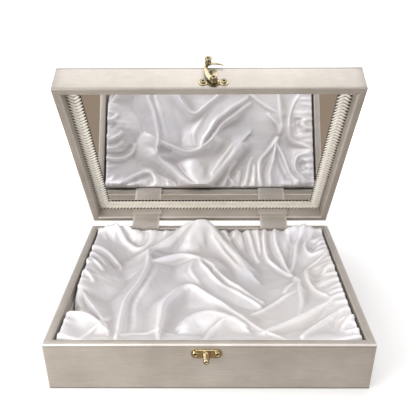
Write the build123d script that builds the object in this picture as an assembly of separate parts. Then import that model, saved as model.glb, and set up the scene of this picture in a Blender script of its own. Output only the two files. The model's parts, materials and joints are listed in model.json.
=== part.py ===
"""Leather-covered keepsake box, lid open, lined with loose satin and with a mirror in its lid.

Millimetres. Origin at the middle of the base's underside, +Z up, +X to the right, front at -Y.
Lid pieces are drawn in the closed pose and swung open about the strap hinge's axis.
"""
import os
from math import atan2, cos, degrees, hypot, radians, sin

from build123d import *

# Overall sizes
box_width = 320.0
box_depth = 236.0
base_height = 56.0
lid_height = 33.0
corner_radius = 2.0

# Walls, boards and coverings
board_thickness = 6.0
bottom_board_thickness = 4.0
lid_board_thickness = 4.0
leather_thickness = 1.1
rim_edge_radius = 1.0
underside_thickness = 1.0
underside_inset = 3.0
leather_lift = 0.5

# Lid swing: the straps let the lid turn about a line behind and below the base's rear rim
lid_open_angle = 62.3
closed_gap = 0.4
hinge_setback = 5.5
hinge_drop = 8.1

# Lid inside
mirror_depth = 16.0
mirror_thickness = 2.5
mirror_backing_thickness = 1.5
mirror_side_gap = 0.4
braid_width = 13.0
braid_thickness = 2.2
braid_side_gap = 0.3

# Strap hinges
strap_width = 36.0
strap_thickness = 1.2
strap_inset = 74.0
strap_gap = 0.3
strap_base_length = 12.0
strap_lid_length = 11.0
strap_cover_thickness = 0.8
strap_cover_margin = 2.5
strap_cover_setback = 3.6
strap_cover_gap = 0.1

# Base inside
padding_thickness = 10.0
lining_card_thickness = 1.5
card_strap_gap = 3.0
lining_side_gap = 0.3
satin_wall_gap = 0.6
satin_top_drop = 4.5
satin_floor_height = 26.0
satin_roll = 5.0
satin_slope_run = 46.0
satin_corner_radius = 14.0
slope_steps = ((0.0, 0.0), (0.18, 0.3), (0.55, 0.78), (1.0, 1.0))
tent_top_gap = 0.6
fold_sink = 4.0
fold_shoulder = 0.3
fold_roundness = 0.16
fold_end_share = 0.7

# Clasp on the front walls
pivot_x = 4.8
stud_x = -2.4
pivot_height = 9.0
stud_drop = 10.0
plate_thickness = 1.0
rivet_spacing = 21.2
rivet_head_radius = 2.6
rivet_head_thickness = 1.3
rivet_head_round = 0.6
rivet_bore_radius = 0.95
rivet_bore_depth = 3.6
rivet_shank_radius = 1.6
shank_length = 5.0
shank_gap = 0.05
catch_plate_width = 29.6
catch_plate_height = 11.0
catch_lip_height = 2.5
catch_lip_thickness = 1.0
catch_lip_width = 21.0
catch_end_radius = 5.0
stud_root_radius = 3.2
stud_tip_radius = 2.35
stud_length = 12.5
stud_tip_round = 0.7
stud_bore_radius = 0.95
stud_bore_depth = 2.0
clasp_lobe_radius = 4.5
clasp_middle_radius = 6.3
clasp_web_height = 6.4
clasp_top_lobe_rise = 9.5
clasp_neck_width = 7.2
pivot_journal_radius = 2.0
pivot_head_radius = 3.2
pivot_head_thickness = 0.9
pivot_bore_depth = 1.2
journal_gap = 0.08
hook_standoff = 2.8
hook_thickness = 1.4
hook_eye_radius = 4.2
hook_band_width = 2.3
hook_seat_gap = 0.55
hook_play = 0.05
band_root_angle = 103.0
band_tip_angle = 67.0
band_tip_slant = 2.0
band_nose_share = 0.4
arm_foot_angles = (209.0, 51.0)
arm_top_reach = 3.2
arm_top_angles = (180.0, 293.0)
arm_middle_share = 0.55
arm_bulge = 4.1
arm_waist = 0.5
eye_overlap = 0.1
knob_lobe_radius = 4.1
knob_direction = 133.0
knob_root_radius = 3.2
knob_neck_radius = 2.7
knob_cap_radius = 3.8
knob_collar_height = 1.8
knob_cap_height = 3.2
knob_height = 12.5
knob_neck_taper = 0.6
knob_cap_flare = 0.8
knob_cap_round = 1.2
knob_flat_radius = 2.7

# Worked-out values
wall_thickness = board_thickness + 2 * leather_thickness
half_width = box_width / 2
half_depth = box_depth / 2
inner_half_width = half_width - wall_thickness
inner_half_depth = half_depth - wall_thickness
strap_x = half_width - strap_inset
lid_base_z = base_height + closed_gap
floor_z = underside_thickness + bottom_board_thickness
hinge_y = half_depth + hinge_setback
hinge_z = base_height - hinge_drop
front_y = -half_depth
turns = {"front": 0, "rear": 180, "left": -90, "right": 90}


def swing(shape):
    """Turn a shape drawn in the closed pose to the open lid's pose."""
    hinge = Axis((0, hinge_y, hinge_z), (1, 0, 0))
    return shape.rotate(hinge, -lid_open_angle)


def swing_point(y, z):
    """Where a closed-pose point of the lid lies when the lid is open."""
    turn = radians(lid_open_angle)
    back, up = y - hinge_y, z - hinge_z
    return (hinge_y + back * cos(turn) + up * sin(turn), hinge_z - back * sin(turn) + up * cos(turn))


def save(shape, name):
    export_step(shape, f"parts/{name}.step")


def upright(sketch, bottom, top):
    """A flat outline raised from height bottom to height top."""
    return Pos(0, 0, bottom) * extrude(sketch, amount=top - bottom, dir=(0, 0, 1))


def section(points, radii=None):
    """A filled section from (distance in from the outer face, height) points."""
    radii = radii or {}
    face = Polygon(*points, align=None)
    for index, radius in radii.items():
        x, y = points[index]
        corner = face.vertices().sort_by_distance(Vector(x, y, 0))[0]
        face = fillet(corner, radius)
    return face


def wall(side, profile, depth, rounded=False):
    """One mitred side of a rectangular frame, from its section seen along the wall."""
    along = box_width if side in ("front", "rear") else box_depth
    out = half_depth if side in ("front", "rear") else half_width
    start = Plane(origin=(-along / 2, -out, 0), x_dir=(0, 1, 0), z_dir=(1, 0, 0))
    bar = extrude(start * profile, amount=along, dir=(1, 0, 0))
    plan = Polygon(
        (-along / 2, -out), (along / 2, -out),
        (along / 2 - depth, -out + depth), (-along / 2 + depth, -out + depth), align=None,
    )
    tall = base_height + lid_height
    piece = (bar & upright(plan, -tall, 2 * tall)).rotate(Axis.Z, turns[side])
    if rounded:
        piece = piece & upright(RectangleRounded(box_width, box_depth, corner_radius), -tall, 2 * tall)
    return piece


def wall_hole(x, z, radius):
    """A drill that runs from in front of the front wall to the shank's depth."""
    drill = Cylinder(radius, shank_length + 2 * plate_thickness)
    return Pos(x, front_y + shank_length / 2, z) * (Rot(90, 0, 0) * drill)


# Fastener places as (x, height) on the closed box's front face
stud_place = (stud_x, base_height - stud_drop)
catch_rivet_places = [(stud_x + side * rivet_spacing / 2, stud_place[1]) for side in (-1, 1)]
pivot_place = (pivot_x, lid_base_z + pivot_height)
clasp_rivet_places = [(pivot_x + side * rivet_spacing / 2, pivot_place[1]) for side in (-1, 1)]


def drilled(shape, places):
    for x, z in places:
        shape = shape - wall_hole(x, z, rivet_shank_radius + shank_gap)
    return shape


# Base: wooden boards
base_board_section = section([
    (leather_thickness, floor_z),
    (leather_thickness + board_thickness, floor_z),
    (leather_thickness + board_thickness, base_height - leather_thickness),
    (leather_thickness, base_height - leather_thickness),
])


def make_base_boards():
    for side in turns:
        board = wall(side, base_board_section, wall_thickness)
        if side == "front":
            board = drilled(board, [stud_place] + catch_rivet_places)
        save(board, f"base_{side}_board")
    bottom = Rectangle(box_width - 2 * leather_thickness, box_depth - 2 * leather_thickness)
    save(upright(bottom, underside_thickness, floor_z), "base_bottom_board")
    cover = RectangleRounded(
        box_width - 2 * underside_inset, box_depth - 2 * underside_inset, corner_radius,
    )
    save(upright(cover, 0, underside_thickness), "base_underside_cover")


# Base: leather folded over each wall's rim and turned down inside
base_leather_section = section(
    [
        (0, leather_lift), (0, base_height), (wall_thickness, base_height),
        (wall_thickness, floor_z),
        (wall_thickness - leather_thickness, floor_z),
        (wall_thickness - leather_thickness, base_height - leather_thickness),
        (leather_thickness, base_height - leather_thickness),
        (leather_thickness, leather_lift),
    ],
    {1: rim_edge_radius, 2: rim_edge_radius},
)


def make_base_leather():
    for side in turns:
        leather = wall(side, base_leather_section, wall_thickness, rounded=True)
        if side == "front":
            leather = drilled(leather, [stud_place] + catch_rivet_places)
        save(leather, f"base_{side}_leather")


# Base: lining cards on the inside walls and the flat padding under the satin
card_in = wall_thickness + lining_card_thickness
card_top = base_height - strap_base_length - card_strap_gap
lining_card_section = section([
    (wall_thickness, floor_z), (card_in, floor_z), (card_in, card_top), (wall_thickness, card_top),
])


def make_lining_cards():
    for side in turns:
        save(wall(side, lining_card_section, card_in), f"lining_{side}_card")
    inset = card_in + lining_side_gap
    pad = Rectangle(box_width - 2 * inset, box_depth - 2 * inset)
    save(upright(pad, floor_z, floor_z + padding_thickness), "base_padding")


# Satin lining: a bowl of cloth with a raised tent at the rear and long folds across it
satin_bottom = floor_z + padding_thickness + lining_side_gap
satin_top = base_height - satin_top_drop
satin_half_width = inner_half_width - lining_card_thickness - satin_wall_gap
satin_half_depth = inner_half_depth - lining_card_thickness - satin_wall_gap
fold_foot = satin_bottom + fold_sink
tent_top = lid_base_z + mirror_depth - braid_thickness - tent_top_gap


def satin_bowl():
    """The cloth's roll along the walls and its slope, in shares of its run and fall, to the floor."""
    body = upright(
        Rectangle(2 * satin_half_width, 2 * satin_half_depth), satin_bottom, satin_top,
    )
    fall = satin_top - satin_floor_height
    rings = []
    for run_share, fall_share in slope_steps:
        inset = satin_roll + run_share * satin_slope_run
        height = satin_top - fall_share * fall
        width = 2 * (satin_half_width - inset)
        depth = 2 * (satin_half_depth - inset)
        rings.append(Pos(0, 0, height) * RectangleRounded(width, depth, satin_corner_radius))
    return body - loft(rings, ruled=True)


def fold_section(x, y, heading, width, crest):
    """A rounded cut across a fold, upright and square to its heading in degrees."""
    turn = radians(heading)
    across = Plane(origin=(x, y, 0), x_dir=(-sin(turn), cos(turn), 0), z_dir=(cos(turn), sin(turn), 0))
    shoulder_x = fold_shoulder * width
    shoulder_z = crest - fold_roundness * width
    outline = Wire([
        Edge.make_line((-width / 2, fold_foot), (-shoulder_x, shoulder_z)),
        Edge.make_three_point_arc((-shoulder_x, shoulder_z), (0, crest), (shoulder_x, shoulder_z)),
        Edge.make_line((shoulder_x, shoulder_z), (width / 2, fold_foot)),
        Edge.make_line((width / 2, fold_foot), (-width / 2, fold_foot)),
    ])
    return across * Face(outline)


def fold(stations, width):
    """A long fold through (x, y, crest height) stations, narrower at its two ends."""
    cuts = []
    last = len(stations) - 1
    for index, (x, y, crest) in enumerate(stations):
        before = stations[max(index - 1, 0)]
        after = stations[min(index + 1, last)]
        heading = degrees(atan2(after[1] - before[1], after[0] - before[0]))
        share = fold_end_share if index in (0, last) else 1.0
        cuts.append(fold_section(x, y, heading, share * width, crest))
    return loft(cuts, ruled=True)


# The tent's cuts as (x, distance from the rear edge, width, fall from the peak)
tent_cuts = [(-14, 0.5, 44, 0), (-20, 22, 96, 6), (-26, 46, 112, 15), (-28, 68, 86, 24)]


def tent():
    """The cloth drawn up to a peak against the rear wall."""
    cuts = []
    for x, from_rear, width, fall in tent_cuts:
        cuts.append(fold_section(x, satin_half_depth - from_rear, 90, width, tent_top - fall))
    return loft(cuts, ruled=True)


# Each long fold as (x, y, crest height) stations, and its width
long_folds = {
    "left": ([(-75, 52, 53), (-79, 8, 50), (-87, -28, 48), (-90, -62, 48), (-89, -96, 50)], 38),
    "arch_left": ([(-51, -94, 49), (-49, -61, 48), (-40, -25, 47), (-24, -9, 45)], 34),
    "arch_right": ([(-28, -10, 45), (0, -28, 45), (25, -56, 43), (62, -92, 46)], 38),
    "middle": ([(-12, 46, 50), (9, 18, 46), (33, -2, 41), (57, -28, 33)], 34),
    "right": ([(138, -32, 49), (112, -47, 46), (80, -66, 44), (52, -88, 46)], 36),
    "front_right": ([(136, -62, 50), (118, -76, 50), (92, -92, 50)], 34),
    "pillow": ([(-134, -70, 51), (-120, -76, 51), (-104, -86, 48)], 44),
    "rear_left": ([(-134, 90, 50), (-116, 90, 54), (-94, 84, 48)], 42),
    "rear_right": ([(104, 90, 49), (122, 91, 54), (136, 88, 50)], 42),
}
pleat_width = 11.0
pleat_length = 30.0
pleat_edge_inset = 2.0
pleat_top_drop = 0.5
pleat_foot_rise = 8.0
pleat_lean = 4.0
pleat_rear_places = (18, 34, 50, 66, 84)
pleat_side_places = (-14, 8, 30, 52, 72)


def pleats():
    """Short gathers that run down from the rear and side edges."""
    made = []
    top = satin_top - pleat_top_drop
    foot = satin_floor_height + pleat_foot_rise
    rear = satin_half_depth - pleat_edge_inset
    for x in pleat_rear_places:
        stations = [(x, rear, top), (x + pleat_lean, rear - pleat_length, foot)]
        made.append(fold(stations, pleat_width))
    for y in pleat_side_places:
        for side in (-1, 1):
            edge = side * (satin_half_width - pleat_edge_inset)
            stations = [(edge, y, top), (edge - side * pleat_length, y - pleat_lean, foot)]
            made.append(fold(stations, pleat_width))
    return made


def make_satin():
    satin = satin_bowl() + tent()
    for stations, width in long_folds.values():
        satin = satin + fold(stations, width)
    for pleat in pleats():
        satin = satin + pleat
    room = upright(
        Rectangle(2 * satin_half_width, 2 * satin_half_depth), satin_bottom, tent_top,
    )
    save(satin & room, "satin_lining")


# Lid: wooden boards
lid_inner_height = lid_height - leather_thickness - lid_board_thickness
lid_board_section = section([
    (leather_thickness, leather_thickness),
    (leather_thickness + board_thickness, leather_thickness),
    (leather_thickness + board_thickness, lid_inner_height),
    (leather_thickness, lid_inner_height),
])
# Lid: leather folded over each wall's rim and turned up inside to the top board
lid_leather_section = section(
    [
        (0, lid_height - leather_thickness), (0, 0), (wall_thickness, 0),
        (wall_thickness, lid_inner_height),
        (wall_thickness - leather_thickness, lid_inner_height),
        (wall_thickness - leather_thickness, leather_thickness),
        (leather_thickness, leather_thickness),
        (leather_thickness, lid_height - leather_thickness),
    ],
    {1: rim_edge_radius, 2: rim_edge_radius},
)


def save_lid(shape, name):
    """Save a piece drawn with the lid's rim at height zero."""
    save(swing(Pos(0, 0, lid_base_z) * shape), name)


def lid_drilled(shape):
    lifted = drilled(Pos(0, 0, lid_base_z) * shape, [pivot_place] + clasp_rivet_places)
    return Pos(0, 0, -lid_base_z) * lifted


def make_lid_boards():
    for side in turns:
        board = wall(side, lid_board_section, wall_thickness)
        if side == "front":
            board = lid_drilled(board)
        save_lid(board, f"lid_{side}_board")
    top = Rectangle(box_width - 2 * leather_thickness, box_depth - 2 * leather_thickness)
    save_lid(upright(top, lid_inner_height, lid_height - leather_thickness), "lid_top_board")


def make_lid_leather():
    for side in turns:
        leather = wall(side, lid_leather_section, wall_thickness, rounded=True)
        if side == "front":
            leather = lid_drilled(leather)
        save_lid(leather, f"lid_{side}_leather")
    outline = RectangleRounded(box_width, box_depth, corner_radius)
    top = upright(outline, lid_height - leather_thickness, lid_height)
    top = fillet(top.edges().group_by(Axis.Z)[-1], 0.9 * leather_thickness)
    save_lid(top, "lid_top_leather")


# Lid: mirror on its card, packed out from the top board, with braid round it
mirror_back = mirror_depth + mirror_thickness


def make_mirror():
    inset = wall_thickness + mirror_side_gap
    sheet = Rectangle(box_width - 2 * inset, box_depth - 2 * inset)
    card_back = mirror_back + mirror_backing_thickness
    save_lid(upright(sheet, mirror_depth, mirror_back), "mirror_glass")
    save_lid(upright(sheet, mirror_back, card_back), "mirror_backing_card")
    save_lid(upright(sheet, card_back, lid_inner_height), "lid_packing_board")


braid_out = wall_thickness + braid_side_gap
braid_in = braid_out + braid_width
braid_low = mirror_depth - braid_thickness
braid_section = section([
    (braid_out, braid_low), (braid_in, braid_low), (braid_in, mirror_depth), (braid_out, mirror_depth),
])


def make_braid():
    for side in turns:
        save_lid(wall(side, braid_section, braid_in), f"braid_{side}")


# Strap hinges: each runs up the base's rear wall, over the gap, and up the lid's rear wall
def strap_line():
    """The strap's middle line as (y, z) points: base end, base rim, lid rim, lid end."""
    out = strap_gap + strap_thickness / 2
    wall_y = inner_half_depth
    base_y = wall_y - out
    lid_rim = swing_point(wall_y - out, lid_base_z - out)
    lid_end = swing_point(wall_y - out, lid_base_z + strap_lid_length)
    return [
        (base_y, base_height - strap_base_length), (base_y, base_height + out), lid_rim, lid_end,
    ]


def make_straps():
    ends = strap_line()
    ribbon = trace(Polyline(*ends), strap_thickness)
    for name, side in (("left", -1), ("right", 1)):
        start = side * strap_x - strap_width / 2
        plane = Plane(origin=(start, 0, 0), x_dir=(0, 1, 0), z_dir=(1, 0, 0))
        save(extrude(plane * ribbon, amount=strap_width, dir=(1, 0, 0)), f"strap_hinge_{name}")


def make_strap_covers():
    """Leather tabs that hide the straps' glued ends on the lid's rear inner wall."""
    width = strap_width + 2 * strap_cover_margin
    lift = strap_gap + strap_thickness + strap_cover_gap
    outer = lift + strap_cover_thickness
    low, high = strap_cover_setback, strap_lid_length + strap_cover_margin
    points = [
        (inner_half_depth - lift, low), (inner_half_depth - outer, low),
        (inner_half_depth - outer, high), (inner_half_depth, high),
        (inner_half_depth, high - strap_cover_thickness),
        (inner_half_depth - lift, high - strap_cover_thickness),
    ]
    for name, side in (("left", -1), ("right", 1)):
        start = side * strap_x - width / 2
        plane = Plane(origin=(start, 0, 0), x_dir=(0, 1, 0), z_dir=(1, 0, 0))
        cover = extrude(plane * Polygon(*points, align=None), amount=width, dir=(1, 0, 0))
        save_lid(cover, f"strap_cover_{name}")


# Clasp pieces are drawn flat, seen from the front, then stood on the front face
def on_front(shape, place):
    """Stand a shape drawn in XY, with +Z outwards, on the closed box's front face."""
    x, z = place
    return Pos(x, front_y, z) * (Rot(90, 0, 0) * shape)


def tube_rivet():
    """A tubular rivet with a rolled head on the plate and a shank in the wall."""
    head = Pos(0, 0, plate_thickness + rivet_head_thickness / 2) * Cylinder(
        rivet_head_radius, rivet_head_thickness)
    head = fillet(head.edges().group_by(Axis.Z)[-1], rivet_head_round)
    length = shank_length + plate_thickness - 2 * shank_gap
    shank = Pos(0, 0, plate_thickness - length / 2) * Cylinder(rivet_shank_radius, length)
    head_top = plate_thickness + rivet_head_thickness
    bore = Pos(0, 0, head_top) * Cylinder(rivet_bore_radius, 2 * rivet_bore_depth)
    return head + shank - bore


def make_catch():
    outline = RectangleRounded(catch_plate_width, catch_plate_height, catch_end_radius)
    plate = upright(outline, 0, plate_thickness)
    lip = Box(catch_lip_width, catch_lip_thickness, catch_lip_height)
    lip_y = (catch_plate_height - catch_lip_thickness) / 2
    plate = plate + Pos(0, lip_y, catch_lip_height / 2) * lip
    hole = Cylinder(rivet_shank_radius + shank_gap, 4 * plate_thickness)
    for x in (-rivet_spacing / 2, 0, rivet_spacing / 2):
        plate = plate - Pos(x, 0, 0) * hole
    save(on_front(plate, stud_place), "catch_plate")
    rivets = [on_front(tube_rivet(), place) for place in catch_rivet_places]
    save(Compound(children=rivets), "catch_rivets")


def make_stud():
    cone = Pos(0, 0, plate_thickness + stud_length / 2) * Cone(
        stud_root_radius, stud_tip_radius, stud_length)
    cone = fillet(cone.edges().group_by(Axis.Z)[-1], stud_tip_round)
    shank_end = shank_length - 2 * shank_gap
    shank = Pos(0, 0, (plate_thickness - shank_end) / 2) * Cylinder(
        rivet_shank_radius, plate_thickness + shank_end)
    tip = plate_thickness + stud_length
    bore = Pos(0, 0, tip) * Cylinder(stud_bore_radius, 2 * stud_bore_depth)
    save(on_front(cone + shank - bore, stud_place), "catch_stud")


def save_clasp(shape, name):
    save(swing(on_front(shape, pivot_place)), name)


def make_clasp_plate():
    outline = Rectangle(rivet_spacing, clasp_web_height) + Circle(clasp_middle_radius)
    outline = outline + Pos(0, clasp_top_lobe_rise) * Circle(clasp_lobe_radius)
    neck = Rectangle(clasp_neck_width, clasp_top_lobe_rise)
    outline = outline + Pos(0, clasp_top_lobe_rise / 2) * neck
    hole = Circle(rivet_shank_radius + shank_gap)
    for side in (-1, 1):
        outline = outline + Pos(side * rivet_spacing / 2, 0) * Circle(clasp_lobe_radius)
    for x in (-rivet_spacing / 2, 0, rivet_spacing / 2):
        outline = outline - Pos(x, 0) * hole
    save_clasp(upright(outline, 0, plate_thickness), "clasp_plate")
    rivets = [Pos(side * rivet_spacing / 2, 0, 0) * tube_rivet() for side in (-1, 1)]
    save_clasp(Compound(children=rivets), "clasp_rivets")


def make_clasp_pivot():
    """Turned rivet: shank in the wall, collar on the plate, journal for the hook, head."""
    hook_top = hook_standoff + hook_thickness
    levels = [
        (rivet_shank_radius, 2 * shank_gap - shank_length, plate_thickness),
        (pivot_head_radius, plate_thickness, hook_standoff - hook_play),
        (pivot_journal_radius, hook_standoff - hook_play, hook_top + hook_play),
        (pivot_head_radius, hook_top + hook_play, hook_top + hook_play + pivot_head_thickness),
    ]
    pivot = None
    for radius, low, high in levels:
        stage = Pos(0, 0, (low + high) / 2) * Cylinder(radius, high - low)
        pivot = stage if pivot is None else pivot + stage
    head_top = levels[-1][2]
    pivot = pivot - Pos(0, 0, head_top) * Cylinder(rivet_bore_radius, 2 * pivot_bore_depth)
    save_clasp(pivot, "clasp_pivot")


# Hook: swings in the plane of the front face; its seat holds the stud at the swing radius
stud_offset_x = stud_x - pivot_x
stud_offset_z = -(pivot_height + closed_gap + stud_drop)
swing_radius = hypot(stud_offset_x, stud_offset_z)
seat_radius = stud_root_radius + hook_seat_gap
knob_reach = seat_radius + knob_lobe_radius
knob_x = knob_reach * cos(radians(knob_direction))
knob_y = swing_radius + knob_reach * sin(radians(knob_direction))


def polar(radius, angle):
    return (radius * cos(radians(angle)), radius * sin(radians(angle)))


def polar_from(centre, radius, angle):
    across, up = polar(radius, angle)
    return (centre[0] + across, centre[1] + up)


def hook_outline():
    """Eye at the pivot, crescent arm on the left, top band that curls right to the tip."""
    band_in = swing_radius + seat_radius
    band_out = band_in + hook_band_width
    band_middle = (band_root_angle + band_tip_angle) / 2
    root_in, root_out = polar(band_in, band_root_angle), polar(band_out, band_root_angle)
    tip_in = polar(band_in, band_tip_angle)
    tip_out = polar(band_in + band_nose_share * hook_band_width, band_tip_angle - band_tip_slant)
    top_band = make_face([
        ThreePointArc(root_in, polar(band_in, band_middle), tip_in),
        Line(tip_in, tip_out),
        ThreePointArc(tip_out, polar(band_out, band_middle), root_out),
        Line(root_out, root_in),
    ])
    foot_out, foot_in = [polar(hook_eye_radius - eye_overlap, angle) for angle in arm_foot_angles]
    arm_top_out = polar_from((knob_x, knob_y), arm_top_reach, arm_top_angles[0])
    arm_top_in = polar_from((knob_x, knob_y), arm_top_reach, arm_top_angles[1])
    arm_middle = arm_middle_share * swing_radius
    arm = make_face([
        ThreePointArc(foot_out, (knob_x - arm_bulge, arm_middle), arm_top_out),
        Line(arm_top_out, arm_top_in),
        ThreePointArc(arm_top_in, (knob_x + arm_waist, arm_middle), foot_in),
        Line(foot_in, foot_out),
    ])
    lobe = Pos(knob_x, knob_y) * Circle(knob_lobe_radius)
    outline = Circle(hook_eye_radius) + arm + lobe + top_band
    keep_clear = Pos(0, swing_radius) * Circle(seat_radius)
    return outline - keep_clear - Circle(pivot_journal_radius + journal_gap)


def make_hook():
    hook = upright(hook_outline(), hook_standoff, hook_standoff + hook_thickness)
    save_clasp(hook, "clasp_hook")


def make_knob():
    """Turned finger knob: collar on the hook, drawn neck and a wider cap."""
    low = hook_standoff + hook_thickness
    neck_low = low + knob_collar_height
    cap_low = low + knob_height - knob_cap_height
    top = low + knob_height
    cap_side = (knob_cap_radius, top - knob_cap_round)
    cap_flat = (knob_flat_radius, top)
    half = make_face([
        Polyline(
            (0, top), (0, low), (knob_root_radius, low), (knob_root_radius, neck_low),
            (knob_neck_radius, neck_low + knob_neck_taper),
            (knob_neck_radius, cap_low - knob_cap_flare), (knob_cap_radius, cap_low), cap_side,
        ),
        TangentArc(cap_side, cap_flat, tangent=(0, 1)),
        Line(cap_flat, (0, top)),
    ])
    knob = revolve(Plane.XZ * half, Axis.Z)
    save_clasp(Pos(knob_x, knob_y, 0) * knob, "clasp_knob")


def main():
    os.makedirs("parts", exist_ok=True)
    make_base_boards()
    make_base_leather()
    make_lining_cards()
    make_satin()
    make_lid_boards()
    make_lid_leather()
    make_mirror()
    make_braid()
    make_straps()
    make_strap_covers()
    make_catch()
    make_stud()
    make_clasp_plate()
    make_clasp_pivot()
    make_hook()
    make_knob()
    swing_angle = 360 - (degrees(atan2(stud_offset_z, stud_offset_x)) % 360) + 90
    print("hinge axis y, z:", hinge_y, hinge_z)
    print("pivot:", swing_point(front_y, pivot_place[1]), "hook swing:", swing_angle)
    print("stud radius of swing:", swing_radius)


main()
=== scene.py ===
"""Looks of an open leather-covered keepsake box with a satin lining and a mirrored lid.

Metres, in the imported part's frame: +Z up, +X to the right, front at -Y, origin under the base.
Lid pieces are modelled with the lid shut and then swung open about the strap hinge's line.
"""
import json
import math
import random

import bmesh
import bpy
import numpy as np
from bpy.props import FloatProperty, FloatVectorProperty, IntProperty, PointerProperty
from mathutils import Matrix, Vector, noise


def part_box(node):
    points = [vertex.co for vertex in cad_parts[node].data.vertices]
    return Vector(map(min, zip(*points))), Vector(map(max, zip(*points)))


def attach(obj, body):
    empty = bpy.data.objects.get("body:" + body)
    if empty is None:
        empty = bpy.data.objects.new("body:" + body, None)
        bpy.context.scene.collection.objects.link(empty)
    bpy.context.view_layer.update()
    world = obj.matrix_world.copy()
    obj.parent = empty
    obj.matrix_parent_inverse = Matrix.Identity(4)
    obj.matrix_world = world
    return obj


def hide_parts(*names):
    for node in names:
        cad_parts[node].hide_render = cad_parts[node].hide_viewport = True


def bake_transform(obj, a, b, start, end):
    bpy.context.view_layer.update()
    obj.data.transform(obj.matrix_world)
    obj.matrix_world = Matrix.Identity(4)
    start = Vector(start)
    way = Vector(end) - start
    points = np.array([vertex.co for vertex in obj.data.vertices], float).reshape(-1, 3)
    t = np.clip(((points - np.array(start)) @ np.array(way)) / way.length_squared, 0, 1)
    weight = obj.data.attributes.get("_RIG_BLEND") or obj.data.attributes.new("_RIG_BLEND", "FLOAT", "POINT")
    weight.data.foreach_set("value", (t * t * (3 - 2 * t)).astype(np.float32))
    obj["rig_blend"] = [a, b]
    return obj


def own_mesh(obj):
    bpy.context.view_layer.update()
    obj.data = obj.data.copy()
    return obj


bl_info = {
    "name": "Keepsake box looks",
    "version": (1, 0, 0),
    "blender": (4, 5, 0),
    "location": "3D View > Sidebar > Keepsake",
    "description": "Dresses the keepsake box in leather, satin, braid, mirror and brass",
    "category": "Object",
}

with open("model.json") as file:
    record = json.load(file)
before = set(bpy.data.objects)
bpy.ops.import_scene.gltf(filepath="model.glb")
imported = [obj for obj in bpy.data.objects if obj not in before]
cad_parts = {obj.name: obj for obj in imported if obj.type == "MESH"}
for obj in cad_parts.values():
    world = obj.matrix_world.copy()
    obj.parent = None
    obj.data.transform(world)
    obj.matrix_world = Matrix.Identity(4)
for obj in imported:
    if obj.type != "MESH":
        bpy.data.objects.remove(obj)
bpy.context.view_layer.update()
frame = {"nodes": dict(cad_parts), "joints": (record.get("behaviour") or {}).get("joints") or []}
mm = 0.001

# The lid's swing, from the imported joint: shut is the joint's lower limit, open is its zero
lid_joint = next(j for j in frame["joints"] if j["name"] == "lid_hinge")
hinge_point = Vector(lid_joint["pos_m"])
open_angle = math.radians(-lid_joint["range_deg"][0])
lid_swing = (
    Matrix.Translation(hinge_point)
    @ Matrix.Rotation(open_angle, 4, Vector(lid_joint["axis"]))
    @ Matrix.Translation(-hinge_point)
)


def shut_box(node):
    """The lowest and highest corner of a lid node when the lid is shut."""
    back = lid_swing.inverted()
    points = [back @ v.co for v in frame["nodes"][node].data.vertices]
    low = Vector([min(p[i] for p in points) for i in range(3)])
    high = Vector([max(p[i] for p in points) for i in range(3)])
    return low, high


# Sizes read from the frame
front_low, front_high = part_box("base_front_leather")
top_low, top_high = shut_box("lid_top_leather")
half_width = front_high.x
half_depth = -front_low.y
base_foot = front_low.z
base_rim = front_high.z
wall = front_high.y - front_low.y
inside_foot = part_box("base_padding")[0].z
lid_rim = shut_box("lid_front_leather")[0].z
lid_top = top_high.z
lid_inside = shut_box("lid_top_board")[0].z
skin = top_high.z - top_low.z
satin_low, satin_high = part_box("satin_lining")
mirror_face = shut_box("mirror_glass")[0].z


class KeepsakeSizes(bpy.types.PropertyGroup):
    """Lengths that shape the pieces."""

    edge_round: FloatProperty(
        name="Edge rounding", description="Radius of the leather over the boards' edges",
        default=1.6 * mm, unit="LENGTH")
    seam_sink: FloatProperty(
        name="Seam depth", description="How far the leather dips at a mitred seam",
        default=0.35 * mm, unit="LENGTH")
    leather_wave: FloatProperty(
        name="Leather waviness", description="How far the glued leather wanders from flat",
        default=0.10 * mm, unit="LENGTH")
    braid_pitch: FloatProperty(
        name="Braid pitch", description="Distance from one stitch of the braid to the next",
        default=4.48 * mm, unit="LENGTH")
    strap_bulge: FloatProperty(
        name="Strap bulge", description="How far a strap bows out between base and lid",
        default=1.2 * mm, unit="LENGTH")
    satin_cells: IntProperty(
        name="Satin cells", description="Number of mesh cells across the satin's width",
        default=262, min=60, max=300)
    brass_round: FloatProperty(
        name="Brass rounding", description="Edge radius of the stamped brass plates",
        default=0.3 * mm, unit="LENGTH")


class KeepsakeFinish(bpy.types.PropertyGroup):
    """Colours of the finishes."""

    leather_colour: FloatVectorProperty(
        name="Leather", description="Champagne leather", subtype="COLOR", size=3,
        default=(0.44, 0.395, 0.343))
    leather_light: FloatVectorProperty(
        name="Leather light", description="Lighter mottling of the leather", subtype="COLOR",
        size=3, default=(0.54, 0.49, 0.433))
    satin_colour: FloatVectorProperty(
        name="Satin", description="White satin", subtype="COLOR", size=3,
        default=(0.72, 0.70, 0.72))
    satin_warm: FloatVectorProperty(
        name="Satin warm", description="Warmer patches of the satin", subtype="COLOR", size=3,
        default=(0.73, 0.70, 0.685))
    braid_colour: FloatVectorProperty(
        name="Braid", description="Cream braid thread", subtype="COLOR", size=3,
        default=(0.97, 0.92, 0.82))
    brass_colour: FloatVectorProperty(
        name="Brass", description="Polished brass", subtype="COLOR", size=3,
        default=(0.74, 0.62, 0.41))


# Small helpers for materials
def new_material(name):
    made = bpy.data.materials.new(name)
    made.use_nodes = True
    return made, made.node_tree, made.node_tree.nodes["Principled BSDF"]


def add(tree, kind, links=None, **values):
    """Adds a node, sets the inputs named in values and links the inputs named in links."""
    node = tree.nodes.new("ShaderNode" + kind)
    for key, value in values.items():
        node.inputs[key.replace("_", " ")].default_value = value
    for key, socket in (links or {}).items():
        tree.links.new(socket, node.inputs[key])
    return node


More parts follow.
